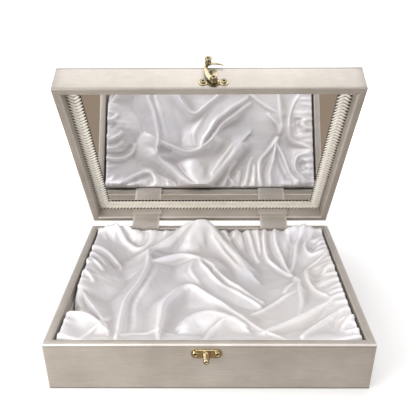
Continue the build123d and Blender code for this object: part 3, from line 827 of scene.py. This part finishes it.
# Places where the cloth lies smooth: (x, y) and how far round them
satin_smooth = [
    (-22, -46, 20), (-20, 84, 15), (-2, 62, 16), (-134, -86, 14), (14, -84, 13), (14, -12, 12),
    (-45, 5, 16), (62, -5, 18), (90, -44, 14),
]
# The ground under the forms, in millimetres: its floor, its slope, its roll and drop at the walls
satin_floor = 27.0
satin_slope_run = 36.0
edge_roll = 5.0
edge_drop = 15.0
# Gathers along the walls: shortest, longest, lowest, highest and the usual gap between two
satin_gathers = ((4, 11, 1.0, 2.4, 4.6), (16, 44, 1.0, 2.8, 12.0))
gather_margin = 4
# The gathers fade towards the tent's peak
tent_peak = (-9, 104)
tent_reach = 32
satin_thick = 0.35 * mm


def smooth_line(points, steps=6):
    """A smooth curve through given points."""
    spots = [np.array(point, float) for point in points]
    last = len(spots) - 1
    line = []
    for index in range(last):
        p0, p1, p2, p3 = [spots[min(max(index + k, 0), last)] for k in (-1, 0, 1, 2)]
        for step in range(steps):
            t = step / steps
            line.append(0.5 * (
                2 * p1 + (p2 - p0) * t + (2 * p0 - 5 * p1 + 4 * p2 - p3) * t ** 2
                + (3 * p1 - p0 - 3 * p2 + p3) * t ** 3))
    line.append(spots[-1])
    return np.array(line)


def nearest(x, y, line):
    """For each place: how far the line is, on which side of it the place lies, and where along it."""
    best = np.full(x.shape, 1e9)
    side = np.zeros(x.shape)
    share = np.zeros(x.shape)
    for index, (a, b) in enumerate(zip(line, line[1:])):
        step = b[:2] - a[:2]
        length = max(step @ step, 1e-9)
        t = np.clip(((x - a[0]) * step[0] + (y - a[1]) * step[1]) / length, 0, 1)
        away = np.hypot(x - a[0] - t * step[0], y - a[1] - t * step[1])
        closer = away < best
        best = np.where(closer, away, best)
        side = np.where(closer, np.sign(step[0] * (y - a[1]) - step[1] * (x - a[0])), side)
        share = np.where(closer, (index + t) / (len(line) - 1), share)
    return best, side, share


def near_mask(x, y, line, reach):
    """Which places lie in the line's own rectangle, widened by a reach."""
    low, high = line[:, :2].min(axis=0) - reach, line[:, :2].max(axis=0) + reach
    return (x > low[0]) & (x < high[0]) & (y > low[1]) & (y < high[1])


def add_crease(height, x, y, points, tall, width, taper):
    """Raises or lowers a smooth narrow crease that fades out at its ends."""
    line = smooth_line(points, 4)
    mask = near_mask(x, y, line, 3 * width)
    away, _, share = nearest(x[mask], y[mask], line)
    height[mask] += tall * np.exp(-(away / width) ** 2) * taper(share)


def join_high(a, b, soft):
    """The higher of two surfaces, with a soft valley between them."""
    gap = np.clip(soft - np.abs(a - b), 0, None)
    return np.maximum(a, b) + gap * gap / (4 * soft)


def soft_noise(x, y, size, seed):
    """Smooth noise over a whole grid of places, from a few waves that cross."""
    draw = random.Random(seed)
    total = np.zeros(x.shape)
    for _ in range(9):
        angle = draw.uniform(0, math.pi)
        reach = size * draw.uniform(0.7, 1.6)
        phase = draw.uniform(0, 2 * math.pi)
        total += np.sin(2 * math.pi * (x * math.cos(angle) + y * math.sin(angle)) / reach + phase)
    return total / 3


def satin_ground(x, y, half_x, half_y):
    """The cloth's roll along the walls and its slope down to the soft floor."""
    ground = satin_floor + 1.2 * soft_noise(x, y, 90, "floor")
    for side, inward, along in (
        ("left", x + half_x, y), ("right", half_x - x, y), ("rear", half_y - y, x), ("front", y + half_y, x),
    ):
        top = np.interp(along, *zip(*edge_heights[side]))
        run = satin_slope_run * (1 + 0.25 * soft_noise(along, 0 * along, 60, side))
        fall = np.clip((inward - edge_roll) / run, 0, None)
        slope = satin_floor + (top - satin_floor) * np.exp(-fall ** 1.5) - 0.03 * inward
        ground = join_high(ground, slope, 7.0)
    return ground


def gather_fade(share):
    return (1 - share) ** 1.3


def crease_fade(share):
    return np.sin(math.pi * share) ** 0.5


def satin_pleats(height, x, y, half_x, half_y):
    """Gathers that run in from the puckered edges: many short puckers and some long folds."""
    draw = random.Random(41)
    for quarter in range(1, 4):
        reach, wall_at = (half_x, half_y) if quarter % 2 == 0 else (half_y, half_x)
        turn = quarter * math.pi / 2
        for low, high, tall_low, tall_high, gap in satin_gathers:
            at = gather_margin - reach
            while at < reach - gather_margin:
                length = draw.uniform(low, high)
                lean = draw.uniform(-0.35, 0.35) * length
                spots = (
                    (at, -wall_at), (at + 0.3 * lean, length / 2 - wall_at), (at + lean, length - wall_at))
                path = [
                    (px * math.cos(turn) - py * math.sin(turn), px * math.sin(turn) + py * math.cos(turn))
                    for px, py in spots]
                width = 1.3 + 0.045 * length
                add_crease(height, x, y, path, draw.uniform(tall_low, tall_high), width, gather_fade)
                at += gap * draw.uniform(0.7, 1.3)


def satin_heights(x, y, half_x, half_y):
    """Height of the satin in millimetres over each place."""
    warp_x = x + 1.2 * soft_noise(x, y, 60, "warp x")
    warp_y = y + 1.2 * soft_noise(x, y, 60, "warp y")
    height = satin_ground(x, y, half_x, half_y)
    beads = np.zeros(x.shape)
    for points, left_run, right_run, roundness, bead in satin_forms.values():
        line = smooth_line(points)
        away, side, share = nearest(warp_x, warp_y, line)
        crest = np.interp(share * (len(line) - 1), np.arange(len(line)), line[:, 2])
        run = np.where(side > 0, left_run, right_run)
        rounded = np.sqrt(away * away + roundness * roundness) - roundness
        drop = (crest - satin_floor + 3) * (1 - np.exp(-rounded / run)) + 0.08 * rounded
        # A crest is beaded only where it stands clear of the forms before it
        exposed = 1 / (1 + np.exp((height - crest + drop) / 0.6))
        beads = np.maximum(beads * (1 - exposed), bead * exposed * np.exp(-(away / 2.1) ** 2))
        height = join_high(height, crest - drop, 2.2)
    height += beads
    for points, tall, width in satin_creases.values():
        add_crease(height, warp_x, warp_y, points, tall, width, crease_fade)
    pleats = np.zeros(x.shape)
    satin_pleats(pleats, x, y, half_x, half_y)
    height += pleats * np.clip(np.hypot(x - tent_peak[0], y - tent_peak[1]) / tent_reach, 0, 1) ** 2
    height += 0.25 * soft_noise(x, y, 22, "fine") + 0.08 * soft_noise(x, y, 9, "finer")
    inward = np.minimum(half_x - np.abs(x), half_y - np.abs(y))
    return height - edge_drop * np.exp(-np.clip(inward, 0, None) / 0.7)


def blurred(heights, across, reach):
    """The heights of a grid, averaged three times over a small square."""
    grid = heights.reshape(-1, across)
    for _ in range(3):
        for axis in (0, 1):
            padded = np.pad(grid, [(reach, reach) if axis == k else (0, 0) for k in (0, 1)], mode="edge")
            total = np.cumsum(padded, axis=axis)
            first = np.take(total, [0], axis=axis) * 0
            total = np.concatenate([first, total], axis=axis)
            span, size = 2 * reach + 1, grid.shape[axis]
            high = np.take(total, np.arange(span, span + size), axis=axis)
            grid = (high - np.take(total, np.arange(size), axis=axis)) / span
    return grid.ravel()


def edge_dense(u):
    """Moves even places from -1 to 1 closer together near both ends."""
    return u + 0.3 * u * (1 - u * u)


class KEEPSAKE_OT_satin(bpy.types.Operator):
    """The loose satin lining with its folds and gathered edges"""

    bl_idname = "keepsake.satin"
    bl_label = "Satin"

    def execute(self, context):
        cells = context.scene.keepsake_sizes.satin_cells
        half_x, half_y = satin_high.x / mm, satin_high.y / mm
        bm = bmesh.new()
        rows = int(cells * half_y / half_x)
        bmesh.ops.create_grid(bm, x_segments=cells, y_segments=rows, size=1)
        u = np.array([v.co.x for v in bm.verts])
        w = np.array([v.co.y for v in bm.verts])
        x, y = half_x * edge_dense(u), half_y * edge_dense(w)
        z = satin_heights(x, y, half_x, half_y)
        across = len(set(u))
        smooth = 0 * z
        for place_x, place_y, reach in satin_smooth:
            smooth = np.maximum(smooth, np.exp(-((x - place_x) ** 2 + (y - place_y) ** 2) / reach ** 2))
        z += smooth * (blurred(z, across, 5) - z)
        z = np.clip(z, satin_low.z / mm + 2, None)
        # How far each place stands above its surroundings, carried for the satin's painted highlight and
        # shade
        stands_up = z - blurred(z, across, 3)
        crest = bm.verts.layers.float.new("crest")
        for v, place_x, place_y, place_z, stands in zip(bm.verts, x, y, z, stands_up):
            v.co = Vector((place_x, place_y, place_z)) * mm
            v[crest] = stands
        satin = finished("satin_cloth", bm, ["satin"], "base")
        add_skin(satin, satin_thick)
        stand_for("satin_lining")
        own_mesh(satin)
        return {"FINISHED"}


# Braid round the mirror: two sizes of strand lean in pairs across a thin tape
braid_out = half_width + shut_box("braid_left")[0].x
braid_low, braid_high = shut_box("braid_front")
braid_width = braid_high.y - braid_low.y + 3.2 * mm
braid_widths = {"front": braid_width - 3.8 * mm, "rear": braid_width + 2.8 * mm}
strand_lean = 62
strand_sizes = ((2.3 * mm, 2.0 * mm), (1.7 * mm, 1.6 * mm))
strand_shorter = 3.0 * mm
past_middle = 0.8 * mm
strand_lift = 0.5 * mm
thread_lift = 0.75 * mm
tape_lift = 0.3 * mm
tape_thick = 0.5 * mm
tape_border = 2.2 * mm
braid_hair = 0.001 * mm


def stitch_template(length, width, height):
    """One thread lying on the braid, as a small rounded spindle."""
    bm = bmesh.new()
    bmesh.ops.create_uvsphere(
        bm, u_segments=6, v_segments=6, radius=0.5,
        matrix=Matrix.Diagonal((height, width, length, 1)))
    bm.transform(Matrix.Rotation(math.pi / 2, 4, "Y"))
    return as_mesh("stitch", bm)


def braid_side(length, pitch, width):
    """A straight braid along X, its good side towards -Z, its middle line on the X axis."""
    spans = [width / 2 + past_middle, width / 2 + past_middle - strand_shorter]
    strands = [
        stitch_template(span / math.sin(math.radians(strand_lean)), thick, high)
        for span, (thick, high) in zip(spans, strand_sizes)]
    bm = bmesh.new()
    count = int(length / pitch)
    step = length / count
    for index in range(count):
        at = (index + 0.5) * step - length / 2
        for side in (-1, 1):
            for half, strand, span in zip((0, 0.5), strands, spans):
                first = len(bm.verts)
                bm.from_mesh(strand)
                bm.verts.ensure_lookup_table()
                spot = (at + half * step, side * (span / 2 - past_middle), -strand_lift)
                lean = Matrix.Rotation(math.radians(side * strand_lean), 4, "Z")
                bmesh.ops.transform(bm, matrix=Matrix.Translation(spot) @ lean, verts=bm.verts[first:])
    for strand in strands:
        bpy.data.meshes.remove(strand)
    return bm


def beside_mirror(quarter, middle, lift):
    """Lays a piece drawn along X at its side of the mirror, in the open lid."""
    out = wall_reach(quarter)[0]
    turn = Matrix.Rotation(quarter * math.pi / 2, 4, "Z")
    put = turn @ Matrix.Translation((0, -(out - middle), mirror_face - lift))
    return lid_swing @ put


class KEEPSAKE_OT_braid(bpy.types.Operator):
    """Cream braid glued round the mirror"""

    bl_idname = "keepsake.braid"
    bl_label = "Braid"

    def execute(self, context):
        pitch = context.scene.keepsake_sizes.braid_pitch
        for name, quarter in quarters.items():
            along = wall_reach(quarter)[1]
            width = braid_widths.get(name, braid_width)
            middle = braid_out + width / 2
            bm = braid_side(2 * (along - braid_out), pitch, width)
            for end in (-1, 1):
                cut(bm, (end * (along - middle), 0, 0), (end, 1, 0), braid_hair, clear_outer=True)
            holes = [e for e in bm.edges if len(e.link_faces) == 1]
            bmesh.ops.holes_fill(bm, edges=holes, sides=0)
            put = beside_mirror(quarter, middle, thread_lift)
            piece = finished(f"braid_thread_{name}", bm, ["braid"], "lid", put, sharp=80)
            stand_for(f"braid_{name}")
            self.make_tape(name, quarter, along, middle, width - 0.2 * mm)
        return {"FINISHED"}

    def make_tape(self, name, quarter, along, middle, width):
        """The thin tape the threads are sewn to: painted shadow along its edges, painted shade between, but
        cream at the rear.
        """
        bm = block(2 * along, width, tape_thick)
        for end in (-1, 1):
            found = cut(bm, (end * (along - middle), 0, 0), (end, 1, 0), braid_hair, clear_outer=True)
            edges = [g for g in found["geom_cut"] if isinstance(g, bmesh.types.BMEdge)]
            bmesh.ops.contextual_create(bm, geom=edges)
        for side in (-1, 1):
            cut(bm, (0, side * (width / 2 - tape_border), 0), (0, side, 0), braid_hair)
        for face in bm.faces:
            if abs(face.calc_center_median().y) < width / 2 - tape_border - 0.1 * mm:
                face.material_index = 1
        # At the rear, which gets less light, the middle takes the thread's full cream as painted light
        ground = "braid" if name == "rear" else "braid_painted_shade"
        put = beside_mirror(quarter, middle, tape_lift)
        tape = finished(f"braid_gap_painted_shadow_{name}", bm, ["braid_gap_painted_shadow", ground], "lid", put, recalc=True)


# Brass clasp
def on_front(place_x, place_z):
    """Stands a shape drawn in XY, with +Z outwards, on the shut box's front face."""
    return Matrix.Translation((place_x, -half_depth, place_z)) @ Matrix.Rotation(math.pi / 2, 4, "X")


def middle_of(box):
    """The middle of a box, seen from the front."""
    low, high = box
    return (low.x + high.x) / 2, (low.z + high.z) / 2


def turned(profile):
    """A closed solid of revolution about Z from (radius, height) points that end on the axis."""
    bm = bmesh.new()
    verts = [bm.verts.new((radius, 0, height)) for radius, height in profile]
    edges = [bm.edges.new(pair) for pair in zip(verts, verts[1:])]
    bmesh.ops.spin(
        bm, geom=verts + edges, cent=(0, 0, 0), axis=(0, 0, 1), angle=2 * math.pi,
        steps=turning_steps, use_merge=True)
    bmesh.ops.remove_doubles(bm, verts=bm.verts, dist=0.001 * mm)
    bmesh.ops.recalc_face_normals(bm, faces=bm.faces)
    return bm


def bored(profile, tip, radius, bore, depth):
    """A turned post whose tip is rolled in round a bore, the bore's inside painted dark as shade."""
    middle, roll = (bore + radius) / 2, (radius - bore) / 2
    crown = []
    for index in range(crown_steps + 1):
        angle = math.radians(180 * index / crown_steps)
        crown.append((middle + roll * math.cos(angle), tip - roll + roll * math.sin(angle)))
    bm = turned(profile + crown + [(bore, tip - depth), (0, tip - depth)])
    # Painted shade: the faces inside the bore take the dark brass
    for face in bm.faces:
        inside = all(math.hypot(v.co.x, v.co.y) < bore + 0.02 * mm for v in face.verts)
        if inside and face.calc_center_median().z > tip - depth - 0.01 * mm:
            face.material_index = 1
    return bm


def millimetres(*points):
    return [(radius * mm, height * mm) for radius, height in points]


turning_steps = 32
crown_steps = 8
# Turned pieces, as (radius, height over the leather) in millimetres, and how each one's tip is
# made: its height, its radius, its bore's radius and its bore's depth
rivet_profile = millimetres((0, 0.8), (2.75, 0.8), (2.75, 1.6))
stud_profile = millimetres((0, 0.8), (4.1, 0.8), (4.1, 1.4), (3.7, 1.9), (3.7, 4.6), (2.9, 12.0))
stud_tip = (13.3 * mm, 2.9 * mm, 0.5 * mm, 2.0 * mm)
pivot_profile = millimetres(
    (0, 0.8), (3.2, 0.8), (3.2, 2.7), (2.0, 2.7), (2.0, 4.3), (3.9, 4.3), (4.1, 4.9), (3.9, 5.6), (3.0, 7.2))
pivot_tip = (8.3 * mm, 3.0 * mm, 1.2 * mm, 2.5 * mm)
knob_profile = millimetres(
    (0, 4.2), (3.2, 4.2), (3.2, 4.9), (2.6, 5.6), (2.6, 7.3), (3.2, 7.9), (3.75, 8.3))
knob_tip = (10.6 * mm, 3.75 * mm, 1.1 * mm, 2.2 * mm)
# The latched hook passes over the catch's rivets, so they stand lower than the lid's
catch_rivet_tip = 2.65 * mm
lid_rivet_tip = 3.3 * mm
# Half the width of the painted shade round the lid plate's pivot
plate_painted_shade_reach = 7 * mm


class KEEPSAKE_OT_clasp(bpy.types.Operator):
    """Brass catch on the base and swing hook on the lid"""

    bl_idname = "keepsake.clasp"
    bl_label = "Clasp"

    def execute(self, context):
        radius = context.scene.keepsake_sizes.brass_round
        stud = middle_of(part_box("catch_stud"))
        pivot = middle_of(shut_box("clasp_pivot"))
        rivets_low, rivets_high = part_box("catch_rivets")
        reach = (rivets_high.x - rivets_low.x) / 2 - 2.6 * mm

        self.place("catch_stamping", softened("catch_plate", radius), "base", "catch_plate")
        rivets = self.pair(stud, reach, catch_rivet_tip)
        self.place("catch_tube_rivets", rivets, "base", "catch_rivets")
        self.post("cone_stud", "base", "catch_stud", stud, stud_profile, stud_tip)

        self.place("clasp_stamping", self.clasp_plate(radius, *pivot), "lid", "clasp_plate", lid_swing)
        rivets = self.pair(pivot, reach, lid_rivet_tip)
        self.place("clasp_tube_rivets", rivets, "lid", "clasp_rivets", lid_swing)
        self.post("pivot_post", "lid", "clasp_pivot", pivot, pivot_profile, pivot_tip, lid_swing)
        self.place("swing_hook", softened("clasp_hook", 2.0 * radius, 3), "hook", "clasp_hook")
        knob = middle_of(shut_box("clasp_knob"))
        self.post("finger_knob", "hook", "clasp_knob", knob, knob_profile, knob_tip, lid_swing)
        return {"FINISHED"}

    def place(self, name, bm, body, node, matrix=None):
        # The lid's pieces take the darker copy of the brass, painted shade
        finish = "brass" if body == "base" else "brass_lid_painted_shade"
        piece = finished(name, bm, [finish, "brass_painted_shade"], body, matrix, sharp=40)
        stand_for(node)

    def post(self, name, body, node, middle, profile, tip, matrix=None):
        """A turned piece that stands on the front."""
        bm = bored(profile, *tip)
        bm.transform(on_front(*middle))
        self.place(name, bm, body, node, matrix)

    def pair(self, middle, reach, tip):
        """Two tubular rivets, one at each end of a plate."""
        both = bmesh.new()
        for side in (-1, 1):
            one = bored(rivet_profile, tip, 2.75 * mm, 1.15 * mm, tip - 0.9 * mm)
            one.transform(on_front(middle[0] + side * reach, middle[1]))
            mesh = as_mesh("rivet", one)
            both.from_mesh(mesh)
            bpy.data.meshes.remove(mesh)
        return both

    def clasp_plate(self, radius, pivot_x, pivot_z):
        """The lid's plate, its top lobe drawn up, with painted shade round the pivot and along its foot."""
        bm = softened("clasp_plate", radius)
        bm.transform(lid_swing.inverted())
        top = pivot_z + 2 * mm
        for v in bm.verts:
            if v.co.z > top:
                v.co.z = top + 1.5 * (v.co.z - top)
        foot = min(v.co.z for v in bm.verts) + 1.0 * mm
        for side in (-1, 1):
            cut(bm, (pivot_x + side * plate_painted_shade_reach, 0, 0), (1, 0, 0))
        for height in (pivot_z + 1 * mm, foot):
            cut(bm, (0, 0, height), (0, 0, 1))
        # Painted shade: faces along the foot and beside the pivot take the dark brass
        for face in bm.faces:
            middle = face.calc_center_median()
            beside_pivot = abs(middle.x - pivot_x) < plate_painted_shade_reach and middle.z < pivot_z + 1 * mm
            if middle.z < foot or beside_pivot:
                face.material_index = 1
        return bm


def repaint(node, finish):
    """Gives a carried-over node its finish."""
    mesh = frame["nodes"][node].data
    mesh.materials.clear()
    mesh.materials.append(material(finish))


class KEEPSAKE_OT_inner_pieces(bpy.types.Operator):
    """Finishes for the mirror and for the boards, cards and paper under the leather"""

    bl_idname = "keepsake.inner_pieces"
    bl_label = "Mirror and inner pieces"

    def execute(self, context):
        for node in frame["nodes"]:
            if node == "mirror_glass":
                repaint(node, "mirror")
            elif node == "base_underside_cover":
                repaint(node, "underside_paper")
            elif node.startswith("lining_") or node in ("mirror_backing_card", "lid_packing_board"):
                repaint(node, "card")
            elif node.endswith("_board"):
                repaint(node, "board")
            elif node == "base_padding":
                repaint(node, "wadding")
        return {"FINISHED"}


# Stage
camera_place = Vector((2.77, -493.4, 391.1)) * mm
camera_pitch = math.radians(26.81)
camera_yaw = -0.008
camera_roll = -0.0048
camera_lens = 44.45
camera_sensor = 36
box_middle = (0, 0, 0.08)
# Lamps: name, place, what the lamp is aimed at, its two sizes and its power
lamps = (
    ("over", (0.0, 0.24, 1.35), box_middle, (1.1, 0.8), 7.0),
    ("high_left", (-0.9, -0.6, 1.1), box_middle, (0.8, 0.6), 4.9),
    ("high_front", (0.0, -1.0, 1.1), box_middle, (1.1, 0.4), 2.0),
    ("high_right", (0.9, -0.7, 1.0), box_middle, (0.8, 0.6), 2.6),
    ("low_left", (-0.50, -0.52, 0.22), (-0.12, -0.1, 0.04), (0.35, 0.3), 2.6),
    ("low_back", (0.0, 0.75, 0.13), (0.0, 0.12, 0.035), (0.7, 0.12), 2.4),
)


def make_lamp(name, place_at, target, size, power):
    lamp = bpy.data.lights.new(name, "AREA")
    lamp.shape = "RECTANGLE"
    lamp.size, lamp.size_y = size
    lamp.energy = power
    thing = bpy.data.objects.new(name, lamp)
    thing.location = place_at
    thing.rotation_euler = (Vector(target) - thing.location).to_track_quat("-Z", "Y").to_euler()
    bpy.context.scene.collection.objects.link(thing)


def mixed(tree, share, one, other):
    """One shader where the share is 0 and the other where it is 1."""
    return add(tree, "MixShader", {0: share, 1: one, 2: other}).outputs["Shader"]


def floor_material():
    """White where the camera sees it, with the box's shadow; a constant tan glow in the mirror, a painted
    reflection.
    """
    made, tree, shader = new_material("floor")
    ray = tree.nodes.new("ShaderNodeLightPath")
    grain = noise_at(tree, place(tree), 6, 3)
    pale = ramp(tree, grain, [(0.3, (0.79, 0.78, 0.77)), (0.7, (0.81, 0.80, 0.79))])
    dress(tree, shader, pale, Roughness=0.9, Specular_IOR_Level=0.1)
    away = add(tree, "VectorMath", {0: place(tree)})
    away.operation = "LENGTH"
    lift = between(tree, away.outputs["Value"], 0.19, 1.0, From_Min=0.3, From_Max=0.9)
    glow = add(tree, "Emission", {"Strength": lift}, Color=(1, 1, 1, 1)).outputs["Emission"]
    # Painted reflection: glossy rays see a constant tan glow in place of a lit floor
    glossy_painted_tan = add(tree, "Emission", Color=(0.36, 0.28, 0.205, 1), Strength=1.0).outputs["Emission"]
    plain = shader.outputs["BSDF"]
    seen = add(tree, "AddShader", {0: plain, 1: glow}).outputs["Shader"]
    kept = mixed(tree, ray.outputs["Is Camera Ray"], plain, seen)
    mirrored = mixed(tree, ray.outputs["Is Glossy Ray"], kept, glossy_painted_tan)
    tree.links.new(mirrored, tree.nodes["Material Output"].inputs["Surface"])
    return made


def make_world():
    """Soft grey studio light, white only where the camera sees it, straight or through glass."""
    world = bpy.data.worlds.new("studio")
    bpy.context.scene.world = world
    world.use_nodes = True
    tree = world.node_tree
    tree.nodes.clear()
    ray = tree.nodes.new("ShaderNodeLightPath")
    soft = add(tree, "Background", Color=(0.96, 0.97, 1.0, 1), Strength=0.52)
    bare = add(tree, "Background", Color=(1, 1, 1, 1), Strength=1.0)
    seen = combined(
        tree, "MAXIMUM", ray.outputs["Is Camera Ray"], ray.outputs["Is Transmission Ray"])
    light = mixed(tree, seen, soft.outputs["Background"], bare.outputs["Background"])
    output = tree.nodes.new("ShaderNodeOutputWorld")
    tree.links.new(light, output.inputs["Surface"])


class KEEPSAKE_OT_stage(bpy.types.Operator):
    """Floor, lamps and the camera at the photograph's angle"""

    bl_idname = "keepsake.stage"
    bl_label = "Stage"

    def execute(self, context):
        scene = context.scene
        scene.view_settings.view_transform = "Standard"
        bm = bmesh.new()
        bmesh.ops.create_grid(bm, x_segments=4, y_segments=4, size=20)
        mesh = as_mesh("floor", bm)
        floor = bpy.data.objects.new("floor", mesh)
        mesh.materials.append(floor_material())
        scene.collection.objects.link(floor)
        make_world()
        for lamp in lamps:
            make_lamp(*lamp)
        self.make_camera(scene)
        return {"FINISHED"}

    def make_camera(self, scene):
        """The camera where the photograph was taken from."""
        camera = bpy.data.objects.new("camera", bpy.data.cameras.new("camera"))
        forward = Vector((
            math.sin(camera_yaw) * math.cos(camera_pitch),
            math.cos(camera_yaw) * math.cos(camera_pitch), -math.sin(camera_pitch)))
        right = Vector((math.cos(camera_yaw), -math.sin(camera_yaw), 0))
        up = right.cross(forward)
        turned_right = right * math.cos(camera_roll) + up * math.sin(camera_roll)
        turned_up = turned_right.cross(forward)
        look = Matrix((turned_right, turned_up, -forward)).transposed()
        camera.matrix_world = Matrix.Translation(camera_place) @ look.to_4x4()
        camera.data.lens = camera_lens
        camera.data.sensor_width = camera_sensor
        scene.collection.objects.link(camera)
        scene.camera = camera


class KEEPSAKE_PT_panel(bpy.types.Panel):
    """Lists the box's steps and their sizes"""

    bl_idname = "KEEPSAKE_PT_panel"
    bl_label = "Keepsake box"
    bl_space_type = "VIEW_3D"
    bl_region_type = "UI"
    bl_category = "Keepsake"

    def draw(self, context):
        layout = self.layout
        for group in (context.scene.keepsake_sizes, context.scene.keepsake_finish):
            for name in group.__annotations__:
                layout.prop(group, name)
        for step in steps:
            layout.operator(step.bl_idname)


steps = (
    KEEPSAKE_OT_stage,
    KEEPSAKE_OT_base_leather,
    KEEPSAKE_OT_lid_leather,
    KEEPSAKE_OT_straps,
    KEEPSAKE_OT_satin,
    KEEPSAKE_OT_braid,
    KEEPSAKE_OT_clasp,
    KEEPSAKE_OT_inner_pieces,
)
classes = (KeepsakeSizes, KeepsakeFinish, *steps, KEEPSAKE_PT_panel)


def register():
    for made in classes:
        bpy.utils.register_class(made)
    bpy.types.Scene.keepsake_sizes = PointerProperty(type=KeepsakeSizes)
    bpy.types.Scene.keepsake_finish = PointerProperty(type=KeepsakeFinish)


def unregister():
    del bpy.types.Scene.keepsake_finish
    del bpy.types.Scene.keepsake_sizes
    for made in reversed(classes):
        bpy.utils.unregister_class(made)


def main():
    register()
    bpy.ops.keepsake.stage()
    bpy.ops.keepsake.base_leather()
    bpy.ops.keepsake.lid_leather()
    bpy.ops.keepsake.straps()
    bpy.ops.keepsake.satin()
    bpy.ops.keepsake.braid()
    bpy.ops.keepsake.clasp()
    bpy.ops.keepsake.inner_pieces()


if __name__ == "__main__":
    main()
